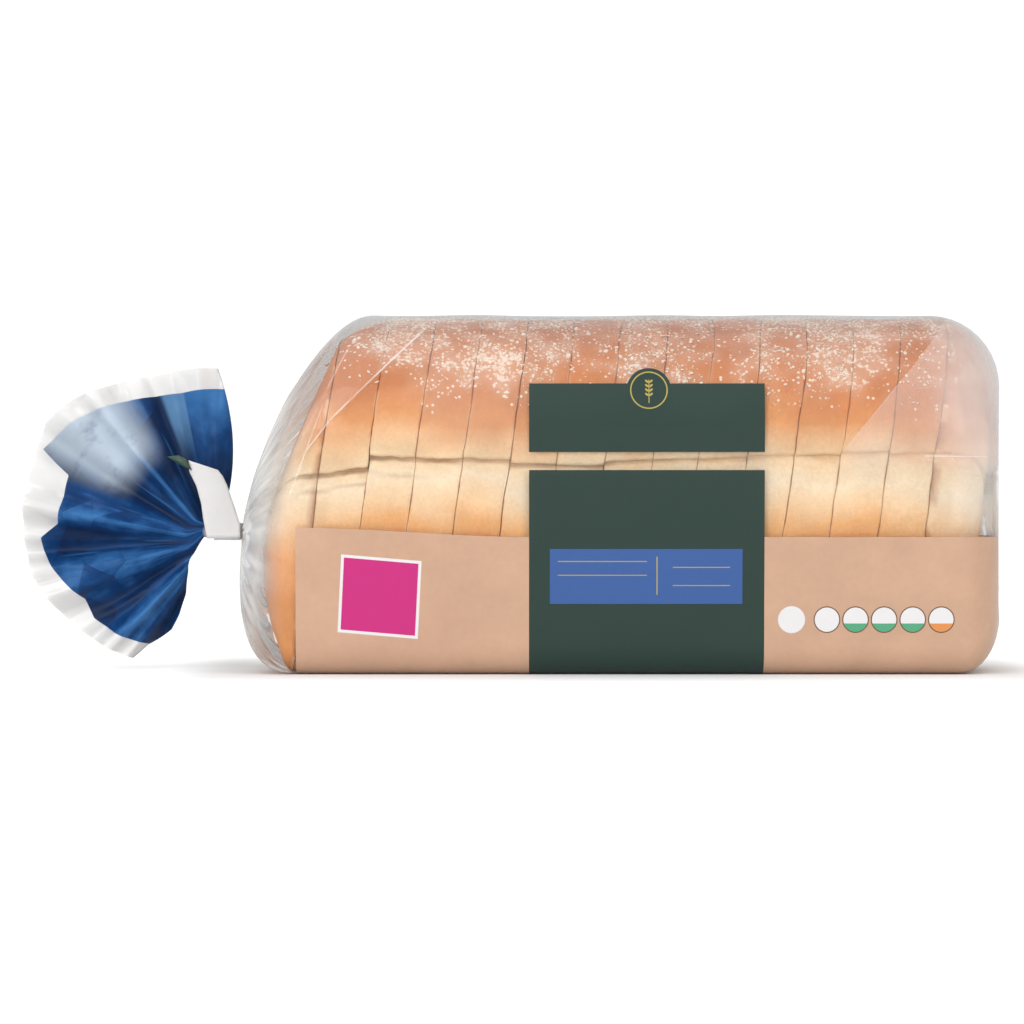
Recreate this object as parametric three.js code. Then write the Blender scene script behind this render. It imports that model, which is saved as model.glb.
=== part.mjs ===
// A sliced farmhouse tin loaf in its printed film bag, with a tape closing the gathered neck.
// Millimetres, +Z up. The loaf stands on its base at Z = 0, its length runs along X, the
// sealed end of the bag faces +X and the gathered neck and open tail face -X.
import * as THREE from "three";

const { clamp, degToRad, lerp, smoothstep } = THREE.MathUtils;

// ---- Driving dimensions ----

// Every face of the loaf that runs across it leans this far towards +X per unit of height.
const LEAN = 0.135;
// The oven break, where the crown rises over the rim of the tin; the lean turns about it.
const BREAK_Z = 70.5;

const SLICE = { pitch: 16.1, gap: 0.3, innerCount: 13, firstCutX: -65.4 };
const BREAD = {
  base: 0.75, // height of the bread's base over the surface, on the bag's film
  baseHalf: 49,
  corner: 10,
  draft: 0.4, // the tin's side leans out this far over its corner
  tinHalf: 53.2,
  rimDrop: 4, // from the break down to the tin's rim
  breakHalf: 51.6,
  crownHalf: 55.6,
  crownZ: 83, // where the crown is widest
  shoulderRise: 22,
  shoulderIn: 15,
  top: 122.6,
};
// The crown loses a share of its rise at each end, over a run that starts at x.
const CROWN_FALL = {
  neck: { x: -44, run: 38, share: 0.42 },
  sealed: { x: 136, run: 46, share: 0.2 },
};
const HEEL = {
  neckReach: 17.8,
  sealedReach: 21.5,
  loops: 6,
  turn: 0.46 * Math.PI, // how far round its rounded edge the last loop lies
  bulge: 0.85,
  neckShrink: 0.6,
  sealedShrink: 0.45,
  centreZ: 50, // the heels reach furthest out at this height
  swellSpan: 80,
};

const FILM = {
  thickness: 0.4,
  baseHalf: 51.2,
  corner: 11,
  draft: 0.5,
  wideHalf: 57.2,
  wideZ: 84,
  shoulderRise: 21,
  shoulderIn: 14,
  top: 124.5,
  sealedX: 171.5, // outer face of the sealed end
  sealedCorner: 19,
  cornerShares: [0, 0.18, 0.36, 0.54, 0.72, 0.88, 1], // of its quarter turn
  stations: [140, 60, -20],
};
const NECK = {
  startX: -60, // where the film leaves the bread, at the height of the break
  startLean: 0.2,
  x: -94.6,
  z: 48,
  radius: 3.2,
  channel: 1.2, // radius of the way through the gathered film
  length: 12.8,
};
// How the strands of film run from the loaf to the neck: each value is given for the lowest
// strand and the highest, with what is added at the widest ones.
const STRAND = {
  run: [12, 17, 7], // along the loaf before it turns
  spread: [0.62, 0.38, 0.12], // share of its height that it keeps over the neck's mouth
  forward: [-0.5, 12, -3], // how far short of the neck's mouth it turns in
  width: 0.86, // share of its half-width that it keeps there
  stations: [0.14, 0.28, 0.42, 0.56, 0.7, 0.84, 0.94, 1],
};
const TAIL = {
  reach: 63.5,
  hub: 3.2,
  halfThickness: 2.4,
  leastHalf: 0.8,
  upperEdge: 90, // degrees up from straight out along -X
  lowerEdge: -56,
  edgeBulge: 12, // degrees that the edges swing out at half reach
  droop: 2.5,
  pleats: 9,
  pleatDepth: 2.2,
  standBack: 7.5, // the upper part of the fan stands this far behind the tape's flag
  standBackFrom: 0.9,
  standBackTo: 1.35,
  lowerCut: 0.27, // share of its reach that the rim loses at its lower edge
  shares: [0.05, 0.12, 0.22, 0.34, 0.46, 0.58, 0.7, 0.82, 0.92, 1],
};
const TAPE = {
  width: 11.6,
  bore: 3.6,
  thickness: 0.6,
  flagLength: 26,
  flagLean: 0.34,
  endGap: 0.5, // between the tape's edge and the neck's mouth
};

const HALF_POINTS = 20; // points on each half of a bread or film section

const COLOURS = {
  crust: 0xd9a26c,
  film: 0xe9ece9,
  tape: 0xf1eeee,
};

// ---- Geometry helpers ----

// A closed body through a row of loops, each with the same number of points and running
// towards +X on its outside. The first and the last loop are closed by a fan from their centre.
function loftThrough(loops) {
  const count = loops[0].length;
  const points = loops.flat();
  const indices = [];
  for (let row = 0; row + 1 < loops.length; row++)
    for (let i = 0; i < count; i++) {
      const next = (i + 1) % count;
      const [a, b] = [row * count + i, row * count + next];
      indices.push(a, b, a + count, b, b + count, a + count);
    }
  const centreOf = (loop) =>
    loop.reduce((sum, p) => sum.add(p), new THREE.Vector3()).divideScalar(count);
  const lastRow = (loops.length - 1) * count;
  const first = points.push(centreOf(loops[0])) - 1;
  const last = points.push(centreOf(loops.at(-1))) - 1;
  for (let i = 0; i < count; i++) {
    const next = (i + 1) % count;
    indices.push(first, next, i);
    indices.push(last, lastRow + i, lastRow + next);
  }
  const geometry = new THREE.BufferGeometry().setFromPoints(points);
  geometry.setIndex(indices);
  return geometry;
}

// The whole outline of a section from its right half, which runs from the middle of the base
// to the top: { y, z } points, closed, starting at the middle of the base.
function wholeOutline(halfPath) {
  const half = halfPath.getSpacedPoints(HALF_POINTS).map((p) => ({ y: p.x, z: p.y }));
  half[0].y = half.at(-1).y = 0;
  const mirrored = half.slice(1, -1).reverse();
  return [...half, ...mirrored.map(({ y, z }) => ({ y: -y, z }))];
}

// Half of the bread's section: tin base and side, the break under the crown, and the crown.
function breadOutline() {
  const { base, baseHalf, corner, tinHalf, breakHalf, crownHalf, crownZ, top } = BREAD;
  const path = new THREE.Path();
  path.moveTo(0, base).lineTo(baseHalf - corner, base);
  path.quadraticCurveTo(baseHalf, base, baseHalf + BREAD.draft, base + corner);
  path.lineTo(tinHalf, BREAK_Z - BREAD.rimDrop).lineTo(breakHalf, BREAK_Z);
  path.quadraticCurveTo(crownHalf, BREAK_Z, crownHalf, crownZ);
  const shoulder = [crownHalf, crownZ + BREAD.shoulderRise, crownHalf - BREAD.shoulderIn, top];
  path.bezierCurveTo(...shoulder, 0, top);
  return wholeOutline(path);
}

// Half of the film's section round the bread, drawn in by inset for the inner wall.
function filmOutline(inset) {
  const { corner, wideZ } = FILM;
  const [baseHalf, wideHalf, top] = [FILM.baseHalf, FILM.wideHalf, FILM.top].map((v) => v - inset);
  const path = new THREE.Path();
  path.moveTo(0, inset).lineTo(baseHalf - corner, inset);
  path.quadraticCurveTo(baseHalf, inset, baseHalf + FILM.draft, corner);
  path.lineTo(wideHalf, wideZ);
  const shoulder = [wideHalf, wideZ + FILM.shoulderRise, wideHalf - FILM.shoulderIn, top];
  path.bezierCurveTo(...shoulder, 0, top);
  return wholeOutline(path);
}

const leanAt = (z, lean = LEAN) => lean * (z - BREAK_Z);

// ---- Bread ----

// How much of the crown's full rise stands at a distance along the loaf: it falls to the ends.
function crownRise(x) {
  const { neck, sealed } = CROWN_FALL;
  const pastNeck = Math.max(0, (neck.x - x) / neck.run);
  const pastSealed = Math.max(0, (x - sealed.x) / sealed.run);
  return 1 - neck.share * pastNeck ** 2 - sealed.share * pastSealed ** 2;
}

// The bread's outline on the cut at x, with the crown at its height there.
function breadLoop(x) {
  const rise = crownRise(x);
  return breadOutline().map(({ y, z }) => {
    const height = z > BREAK_Z ? BREAK_Z + (z - BREAK_Z) * rise : z;
    return new THREE.Vector3(x + leanAt(height), y, height);
  });
}

const sliceBetween = (from, to) =>
  loftThrough([breadLoop(from + SLICE.gap / 2), breadLoop(to - SLICE.gap / 2)]);

// The share of a heel's reach that it has at a height. The neck end falls back under the crown
// and at the base, and the sealed end is nearly upright.
function heelSwell(z, outward) {
  const off = Math.abs(z - HEEL.centreZ) / HEEL.swellSpan;
  if (outward > 0) return 1 - 0.35 * off ** 2;
  return z > HEEL.centreZ ? 1 - 1.23 * off ** 1.3 : 1 - 1.5 * off ** 1.75;
}

// A crust end: the cut outline, drawn in over loops into a rounded end. Outward is -1 towards
// the neck and 1 towards the sealed end.
function heelFrom(cutX, reach, outward) {
  const cut = breadLoop(cutX + (outward * SLICE.gap) / 2);
  const loops = Array.from({ length: HEEL.loops }, (_, k) => {
    const turn = (k / (HEEL.loops - 1)) * HEEL.turn;
    const shrink = Math.cos(turn) ** (outward < 0 ? HEEL.neckShrink : HEEL.sealedShrink);
    return cut.map((p) => {
      const z = HEEL.centreZ + (p.z - HEEL.centreZ) * shrink;
      const out = reach * Math.sin(turn) ** HEEL.bulge * heelSwell(z, outward);
      const cutHere = p.x - leanAt(p.z) + leanAt(z);
      return new THREE.Vector3(cutHere + outward * out, p.y * shrink, z);
    });
  });
  return loftThrough(outward < 0 ? loops.reverse() : loops);
}

// ---- Bag ----

// The film's loop round the loaf, leaning with the slices, at x on the height of the break.
const bodyLoop = (x, inset, lean = LEAN) =>
  filmOutline(inset).map(({ y, z }) => new THREE.Vector3(x + leanAt(z, lean), y, z));

// The sealed end: the body's loop turned over a rounded corner onto an upright end face.
function sealedEndLoops(startX, inset) {
  const corner = FILM.sealedCorner - inset;
  const middleZ = FILM.top / 2;
  const start = bodyLoop(startX, inset);
  const turned = FILM.cornerShares.map((share) => {
    const angle = (share * Math.PI) / 2;
    const drawnIn = corner * (1 - Math.cos(angle));
    return start.map(
      (p) =>
        new THREE.Vector3(
          FILM.sealedX - FILM.sealedCorner + corner * Math.sin(angle),
          p.y * (1 - drawnIn / FILM.wideHalf),
          middleZ + (p.z - middleZ) * (1 - drawnIn / middleZ),
        ),
    );
  });
  return turned.reverse();
}

// The point of the gathered neck's ring that a section's direction runs to.
function neckPoint(direction, x, radius) {
  return new THREE.Vector3(
    x,
    radius * Math.sin(direction),
    NECK.z - radius * Math.cos(direction),
  );
}

// The neck end: each strand of film runs over the end of the bread in one curve and meets the
// neck's ring. The curves are slack above, where the film stands off, and tight below.
function neckEndLoops(inset, ringRadius) {
  const start = bodyLoop(NECK.startX, inset, NECK.startLean);
  const count = start.length;
  const strands = start.map((p, i) => {
    const direction = (i / count) * 2 * Math.PI;
    const upper = (1 - Math.cos(direction)) / 2;
    const aside = Math.abs(Math.sin(direction));
    const valueHere = ([lowest, highest, widest]) => lerp(lowest, highest, upper) + widest * aside;
    const ring = neckPoint(direction, NECK.x, ringRadius);
    const over = new THREE.Vector3(p.x - valueHere(STRAND.run), p.y, p.z);
    const towards = new THREE.Vector3(
      NECK.x + valueHere(STRAND.forward) + inset,
      lerp(ring.y, p.y, STRAND.width),
      lerp(ring.z, p.z, valueHere(STRAND.spread)),
    );
    return new THREE.CubicBezierCurve3(p, over, towards, ring);
  });
  return STRAND.stations.map((t) => strands.map((strand) => strand.getPoint(t)));
}

// The open tail: the film fans out from the neck as two pleated layers, front and back, that
// meet in folds along the fan's upper and lower edges.
function tailLoops(inset) {
  const hubX = NECK.x - NECK.length;
  const count = 2 * HALF_POINTS;
  return TAIL.shares.map((share) => {
    const swing = TAIL.edgeBulge * Math.sin(Math.PI * share);
    const margin = inset / (TAIL.hub + share * TAIL.reach);
    const upperEdge = degToRad(TAIL.upperEdge + swing) - margin;
    const lowerEdge = degToRad(TAIL.lowerEdge - swing) + margin;
    const half = Math.max(TAIL.halfThickness + share - inset, TAIL.leastHalf);
    return Array.from({ length: count }, (_, i) => {
      const direction = (i / count) * 2 * Math.PI;
      const angle = lerp(lowerEdge, upperEdge, (1 - Math.cos(direction)) / 2);
      const reach = lerp(TAIL.hub, TAIL.reach * tailRim(angle), share);
      const layer = Math.sign(Math.sin(direction)) * Math.sqrt(Math.abs(Math.sin(direction)));
      return new THREE.Vector3(
        hubX - reach * Math.cos(angle),
        half * layer + tailSway(angle, share),
        NECK.z - TAIL.droop * share + reach * Math.sin(angle),
      );
    });
  });
}

// The tail's outline as a share of its reach: full above, and less towards its lower edge.
function tailRim(angle) {
  const below = clamp(-angle / 1.1, 0, 1);
  const above = clamp(angle / 1.5, 0, 1);
  return 1 - TAIL.lowerCut * below ** 1.6 + 0.1 * Math.sin(Math.PI * above) - 0.06 * above;
}

// How far both layers swing to and fro across the fan: pleats that open towards the rim, and
// the upper part of the fan standing back behind the tape's flag.
function tailSway(angle, share) {
  const pleats = TAIL.pleatDepth * smoothstep(share, 0.1, 0.6) * Math.sin(TAIL.pleats * angle);
  const back = TAIL.standBack * smoothstep(angle, TAIL.standBackFrom, TAIL.standBackTo);
  return pleats + back * smoothstep(share, 0, 0.12);
}

// The bag is one film: its inner wall from the sealed end to the tail's rim, then its outer
// wall back again. The neck's wall is thicker, because the film is bunched there.
function bagWall(inset, channelInset) {
  const ringRadius = NECK.radius - channelInset;
  const neck = [0.35, 0.95].map((share) =>
    Array.from({ length: 2 * HALF_POINTS }, (_, i) =>
      neckPoint((i / (2 * HALF_POINTS)) * 2 * Math.PI, NECK.x - NECK.length * share, ringRadius),
    ),
  );
  return [
    ...sealedEndLoops(FILM.stations[0], inset),
    ...FILM.stations.map((x) => bodyLoop(x, inset)),
    bodyLoop(NECK.startX, inset, NECK.startLean),
    ...neckEndLoops(inset, ringRadius),
    ...neck,
    ...tailLoops(inset),
  ];
}

const bagFilm = () =>
  loftThrough([
    ...bagWall(FILM.thickness, NECK.radius - NECK.channel),
    ...bagWall(0, 0).reverse(),
  ]);

// ---- Tape ----

// The closing tape: one strip wound round the neck, its two ends pressed together as a flag
// that leans towards the tail. It is drawn as seen along the neck and extruded by its width.
function neckTape() {
  const outer = TAPE.bore + TAPE.thickness;
  const outline = new THREE.Shape();
  const half = TAPE.thickness;
  const rise = Math.sqrt(outer ** 2 - half ** 2);
  const start = Math.atan2(rise, half);
  outline.moveTo(half, rise).lineTo(half, rise + TAPE.flagLength);
  outline.lineTo(-half, rise + TAPE.flagLength).lineTo(-half, rise);
  outline.absarc(0, 0, outer, Math.PI - start, start + 2 * Math.PI, false);
  const bore = new THREE.Path().absarc(0, 0, TAPE.bore, 0, 2 * Math.PI, true);
  outline.holes.push(bore);
  const geometry = new THREE.ExtrudeGeometry(outline, {
    depth: TAPE.width,
    bevelEnabled: false,
    curveSegments: 20,
  });
  // The outline's x lies along Y, its y along Z and the strip's width along X.
  const [alongX, alongY, alongZ] = [0, 1, 2].map((k) => new THREE.Vector3().setComponent(k, 1));
  geometry.applyMatrix4(new THREE.Matrix4().makeBasis(alongY, alongZ, alongX));
  const place = geometry.attributes.position;
  for (let i = 0; i < place.count; i++) {
    const above = Math.max(0, place.getZ(i) - outer);
    place.setX(i, place.getX(i) - TAPE.flagLean * above);
  }
  return geometry;
}

// ---- Assembly ----

function material(name, colour, roughness, opacity = 1) {
  return new THREE.MeshStandardMaterial({
    name,
    color: colour,
    roughness,
    metalness: 0,
    transparent: opacity < 1,
    opacity,
  });
}

const crust = material("crust", COLOURS.crust, 0.85);
const film = material("film", COLOURS.film, 0.2, 0.35);
const tape = material("tape", COLOURS.tape, 0.5);

function addMesh(group, name, geometry, surface) {
  const mesh = new THREE.Mesh(geometry, surface);
  mesh.name = name;
  group.add(mesh);
  return mesh;
}

function buildLoaf() {
  const loaf = new THREE.Group();
  const cutX = (index) => SLICE.firstCutX + SLICE.pitch * index;
  addMesh(loaf, "heel_neck_end", heelFrom(cutX(0), HEEL.neckReach, -1), crust);
  for (let i = 0; i < SLICE.innerCount; i++) {
    const name = `slice_${String(i + 2).padStart(2, "0")}`;
    addMesh(loaf, name, sliceBetween(cutX(i), cutX(i + 1)), crust);
  }
  const lastCut = cutX(SLICE.innerCount);
  addMesh(loaf, "heel_sealed_end", heelFrom(lastCut, HEEL.sealedReach, 1), crust);
  addMesh(loaf, "bag_film", bagFilm(), film);
  const closure = addMesh(loaf, "neck_tape", neckTape(), tape);
  closure.position.set(NECK.x - TAPE.endGap - TAPE.width, 0, NECK.z);
  return loaf;
}

export default buildLoaf();
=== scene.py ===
"""Looks of a sliced farmhouse tin loaf standing in its printed film bag, taped at the neck.

Sizes in the classes are millimetres; meshes are made in metres. +Z is up and X runs along the
loaf: the bag's sealed end faces +X, and its gathered neck and open tail face -X.
"""

from __future__ import annotations

import logging
import math
from dataclasses import dataclass, field
from enum import Enum
from functools import partial, reduce

import bmesh
import bpy
import numpy as np
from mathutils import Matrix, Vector, noise


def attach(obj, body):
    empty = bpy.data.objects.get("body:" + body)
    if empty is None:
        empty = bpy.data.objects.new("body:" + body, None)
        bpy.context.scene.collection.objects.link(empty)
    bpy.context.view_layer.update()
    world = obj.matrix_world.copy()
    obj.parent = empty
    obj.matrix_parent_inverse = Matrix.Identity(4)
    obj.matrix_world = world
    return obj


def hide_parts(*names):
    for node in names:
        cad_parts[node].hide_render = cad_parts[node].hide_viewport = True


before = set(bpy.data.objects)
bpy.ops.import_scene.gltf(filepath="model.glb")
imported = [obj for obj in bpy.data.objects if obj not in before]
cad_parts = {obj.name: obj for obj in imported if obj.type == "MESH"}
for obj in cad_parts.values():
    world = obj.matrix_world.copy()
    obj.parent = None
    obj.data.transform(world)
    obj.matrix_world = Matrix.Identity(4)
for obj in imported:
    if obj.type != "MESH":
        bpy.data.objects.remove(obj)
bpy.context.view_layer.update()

MM = 0.001
BODY = "root"
SEED = 7

Socket = bpy.types.NodeSocket
Value = Socket | float | tuple[float, ...]
Colour = tuple[float, float, float, float]
Path = tuple[tuple[float, float], ...]

log = logging.getLogger("tin_loaf")


class End(Enum):
    """The two ends of the loaf, as the direction along X that they face."""

    NECK = -1
    SEALED = 1


class Slot(Enum):
    """The record's material slots."""

    CRUST = "crust"
    FILM = "film"
    TAPE = "tape"


# ---------------------------------------------------------------------------
# Numbers and meshes
# ---------------------------------------------------------------------------


def srgb(red: int, green: int, blue: int) -> Colour:
    """A colour given as display values from 0 to 255, in the linear light that shaders use.

    Args:
        red: The display value of red.
        green: The display value of green.
        blue: The display value of blue.

    Returns:
        The linear colour, opaque.
    """
    shares = (value / 255 for value in (red, green, blue))
    linear = [s / 12.92 if s <= 0.04045 else ((s + 0.055) / 1.055) ** 2.4 for s in shares]
    return (*linear, 1.0)


def smoothstep(values: np.ndarray, low: float, high: float) -> np.ndarray:
    """Rises smoothly from 0 at low to 1 at high.

    Args:
        values: The numbers to map.
        low: Where the rise starts.
        high: Where it ends.

    Returns:
        One share from 0 to 1 for each number.
    """
    share = np.clip((values - low) / (high - low), 0.0, 1.0)
    return share * share * (3 - 2 * share)


def mix(a: np.ndarray | float, b: np.ndarray | float, share: np.ndarray | float) -> np.ndarray:
    """The value a share of the way from a to b."""
    return a + (b - a) * share


def bezier(points: list[np.ndarray], share: np.ndarray | float) -> np.ndarray:
    """A point on a quadratic or cubic curve.

    Args:
        points: Three or four control points, or arrays of them.
        share: How far along the curve, from 0 to 1.

    Returns:
        The points of the curve.
    """
    while len(points) > 1:
        points = [mix(a, b, share) for a, b in zip(points, points[1:])]
    return points[0]


def evenly(path: np.ndarray, count: int) -> np.ndarray:
    """The path again with its points evenly spaced.

    Args:
        path: The path's points, one in each row.
        count: How many steps to divide it into.

    Returns:
        count + 1 points.
    """
    steps = np.linalg.norm(np.diff(path, axis=0), axis=1)
    return spaced_by(path, np.concatenate([[0.0], np.cumsum(steps)]), count)


def noise_at(points: np.ndarray, size: float, seed: float = 0.0) -> np.ndarray:
    """Smooth noise between about -1 and 1.

    Args:
        points: Places, one in each row.
        size: The noise's size in the places' own unit.
        seed: Moves the noise to another place.

    Returns:
        One number for each place.
    """
    flat = points.reshape(-1, 3) / size + seed
    values = [noise.noise(Vector(p)) for p in flat.tolist()]
    return np.array(values).reshape(points.shape[:-1])


def outward(points: np.ndarray) -> np.ndarray:
    """Unit vectors square to closed loops in the YZ plane, pointing out of them.

    Args:
        points: Loops of points, in rows, that run up the +Y side from the base.

    Returns:
        One vector for each point.
    """
    along = np.roll(points, -1, axis=-2) - np.roll(points, 1, axis=-2)
    across = np.stack([np.zeros_like(along[..., 0]), along[..., 2], -along[..., 1]], axis=-1)
    return across / np.maximum(np.linalg.norm(across, axis=-1, keepdims=True), 1e-9)


def loft_faces(rows: int, count: int) -> list[tuple[int, ...]]:
    """Faces between closed loops of points that run towards +X.

    Args:
        rows: How many loops.
        count: How many points in each.

    Returns:
        The faces, pointing outwards.
    """
    here = np.arange(count)
    after = (here + 1) % count
    faces = []
    for row in range(rows - 1):
        low, high = row * count, (row + 1) * count
        quads = np.stack([low + here, low + after, high + after, high + here], axis=1)
        faces.extend(map(tuple, quads.tolist()))
    return faces


def grid_faces(rows: int, count: int) -> np.ndarray:
    """Faces between open rows of points, with one face's corners in each row.

    Args:
        rows: How many rows.
        count: How many points in each.

    Returns:
        The faces' corners.
    """
    corner = (np.arange(rows - 1)[:, None] * count + np.arange(count - 1)).ravel()
    return np.stack([corner, corner + 1, corner + count + 1, corner + count], axis=1)


def fan(edge: np.ndarray, middle: int) -> list[tuple[int, int, int]]:
    """Triangles from each step of a closed edge to one middle point."""
    return [(a, b, middle) for a, b in zip(edge.tolist(), np.roll(edge, -1).tolist())]


def spaced_by(path: np.ndarray, along: np.ndarray, count: int) -> np.ndarray:
    """The path again at count + 1 places that are evenly spaced in a measure along it."""
    at = np.linspace(0, along[-1], count + 1)
    return np.stack([np.interp(at, along, path[:, k]) for k in range(path.shape[1])], axis=1)


def add_mesh(name: str, points: np.ndarray, faces: list[tuple[int, ...]]) -> bpy.types.Object:
    """A new smooth-shaded object at the origin.

    Args:
        name: The object's name.
        points: Its points in millimetres, one in each row.
        faces: Its faces.

    Returns:
        The object.
    """
    mesh = bpy.data.meshes.new(name)
    mesh.from_pydata((points.reshape(-1, 3) * MM).tolist(), [], faces)
    mesh.shade_smooth()
    mesh.update()
    piece = bpy.data.objects.new(name, mesh)
    bpy.context.scene.collection.objects.link(piece)
    return piece


def face_out(piece: bpy.types.Object) -> None:
    """Turns all faces of a closed mesh outwards.

    Args:
        piece: The mesh's object.
    """
    work = bmesh.new()
    work.from_mesh(piece.data)
    bmesh.ops.remove_doubles(work, verts=work.verts, dist=1e-6)
    bmesh.ops.recalc_face_normals(work, faces=work.faces)
    work.to_mesh(piece.data)
    work.free()


def store(piece: bpy.types.Object, name: str, values: np.ndarray) -> None:
    """Stores one number at each point of a mesh, for its materials to read."""
    attribute = piece.data.attributes.new(name, "FLOAT", "POINT")
    attribute.data.foreach_set("value", values.astype(np.float32).ravel())


def settle(piece: bpy.types.Object, slot: Slot, *nodes: str) -> None:
    """Makes a finished piece part of the object.

    Args:
        piece: The piece, in place.
        slot: The material slot for its finish; it is not used.
        *nodes: The CAD nodes that it stands for.
    """
    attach(piece, BODY)
    if nodes:
        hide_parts(*nodes)
    log.info("%s: %d faces", piece.name, len(piece.data.polygons))


# ---------------------------------------------------------------------------
# Shader and geometry trees
# ---------------------------------------------------------------------------


class Tree:
    """Writes nodes into one tree, with sockets or plain values for their inputs."""

    def __init__(self, tree: bpy.types.NodeTree) -> None:
        """Starts on an empty tree.

        Args:
            tree: A material's, a group's or a modifier's node tree.
        """
        self.tree = tree
        tree.nodes.clear()

    def node(
        self, kind: str, inputs: dict[str | int, Value] | None = None, **settings: object
    ) -> bpy.types.Node:
        """Adds a node.

        Args:
            kind: The node's type name.
            inputs: Input sockets by name or place, with what each is given.
            **settings: The node's own settings.

        Returns:
            The node.
        """
        made = self.tree.nodes.new(kind)
        for name, value in settings.items():
            setattr(made, name, value)
        for key, value in (inputs or {}).items():
            self.give(made.inputs[key], value)
        return made

    def give(self, socket: Socket, value: Value) -> None:
        """Links a socket to another, or sets its plain value; a colour loses its alpha in a vector.

        Args:
            socket: The input socket.
            value: The output socket or the value that it is given.
        """
        if isinstance(value, Socket):
            self.tree.links.new(value, socket)
        elif isinstance(value, tuple):
            socket.default_value = value[: len(socket.default_value)]
        else:
            socket.default_value = value

    def math(self, operation: str, *values: Value) -> Socket:
        """The result of one sum on plain numbers."""
        given = dict(enumerate(values))
        return self.node("ShaderNodeMath", given, operation=operation).outputs[0]

    def total(self, *values: Value) -> Socket:
        """The sum of two or more values."""
        return reduce(partial(self.math, "ADD"), values)

    def product(self, *values: Value) -> Socket:
        """The product of two or more values."""
        return reduce(partial(self.math, "MULTIPLY"), values)

    def greatest(self, *values: Value) -> Socket:
        """The greatest of two or more values."""
        return reduce(partial(self.math, "MAXIMUM"), values)

    def minus(self, a: Value, b: Value) -> Socket:
        """What is left of a when b is taken away."""
        return self.math("SUBTRACT", a, b)

    def ratio(self, a: Value, b: Value) -> Socket:
        """How many times b goes into a."""
        return self.math("DIVIDE", a, b)

    def below(self, a: Value, b: Value) -> Socket:
        """1 where a is less than b, and 0 elsewhere."""
        return self.math("LESS_THAN", a, b)

    def above(self, a: Value, b: Value) -> Socket:
        """1 where a is greater than b, and 0 elsewhere."""
        return self.math("GREATER_THAN", a, b)

    def length(self, x: Value, y: Value) -> Socket:
        """The length of a flat vector."""
        return self.math("SQRT", self.total(self.product(x, x), self.product(y, y)))

    def rise(self, value: Value, low: Value, high: Value, smooth: bool = True) -> Socket:
        """A share that rises from 0 at low to 1 at high.

        Args:
            value: What is mapped.
            low: Where the share is 0.
            high: Where the share is 1.
            smooth: Whether the rise eases in and out.

        Returns:
            The share.
        """
        kind = "SMOOTHSTEP" if smooth else "LINEAR"
        given = {"Value": value, "From Min": low, "From Max": high}
        return self.node("ShaderNodeMapRange", given, interpolation_type=kind).outputs[0]

    def blend(self, share: Value, a: Value, b: Value) -> Socket:
        """The colour a share of the way from a to b.

        Args:
            share: How far from a to b, from 0 to 1.
            a: The first colour.
            b: The second colour.

        Returns:
            The colour between them.
        """
        made = self.node("ShaderNodeMix", data_type="RGBA")
        for place, value in ((0, share), (6, a), (7, b)):
            self.give(made.inputs[place], value)
        return made.outputs[2]

    def shade(self, colour: Value, factor: Value) -> Socket:
        """A colour made lighter or darker by a factor."""
        given = {0: colour, "Scale": factor}
        return self.node("ShaderNodeVectorMath", given, operation="SCALE").outputs[0]

    def noise(self, place: Value, scale: float, detail: float = 2.0, rough: float = 0.5) -> Socket:
        """Noise from 0 to 1.

        Args:
            place: The coordinates that it is read at.
            scale: How many features fit in one unit.
            detail: How many finer layers it has.
            rough: How strong the finer layers are.

        Returns:
            The noise's value.
        """
        given = {"Vector": place, "Scale": scale, "Detail": detail, "Roughness": rough}
        return self.node("ShaderNodeTexNoise", given).outputs[0]

    def ramp(self, value: Value, stops: list[tuple[float, Colour]]) -> Socket:
        """A colour read from a row of stops.

        Args:
            value: Where to read, from 0 to 1.
            stops: Each stop's place and colour, in order.

        Returns:
            The colour.
        """
        made = self.node("ShaderNodeValToRGB", {"Fac": value})
        elements = made.color_ramp.elements
        for element, (place, colour) in zip(elements, (stops[0], stops[-1])):
            element.position = place
            element.color = colour
        for place, colour in stops[1:-1]:
            elements.new(place).color = colour
        return made.outputs[0]

    def cells(self, place: Value, scale: float) -> tuple[Socket, Socket]:
        """A pattern of cells.

        Args:
            place: The coordinates that it is read at.
            scale: How many cells fit in one unit.

        Returns:
            How far the point is from its cell's middle, and the cell's own chance from 0 to 1.
        """
        made = self.node("ShaderNodeTexVoronoi", {"Vector": place, "Scale": scale}).outputs
        parts = self.node("ShaderNodeSeparateColor", {0: made["Color"]})
        return made["Distance"], parts.outputs[0]

    def bump(self, height: Value, strength: float, distance: float) -> Socket:
        """The normal of a small relief, whose depth is in metres."""
        given = {"Height": height, "Strength": strength, "Distance": distance}
        return self.node("ShaderNodeBump", given).outputs[0]

    def here(self) -> Socket:
        """The point's own place on its piece, in metres."""
        return self.node("ShaderNodeTexCoord").outputs["Object"]

    def attribute(self, name: str) -> Socket:
        """A number stored on the mesh."""
        return self.node("ShaderNodeAttribute", attribute_name=name).outputs["Fac"]

    def vector(self, x: Value, y: Value, z: Value) -> Socket:
        """A vector joined from its parts."""
        return self.node("ShaderNodeCombineXYZ", {0: x, 1: y, 2: z}).outputs[0]


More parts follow.
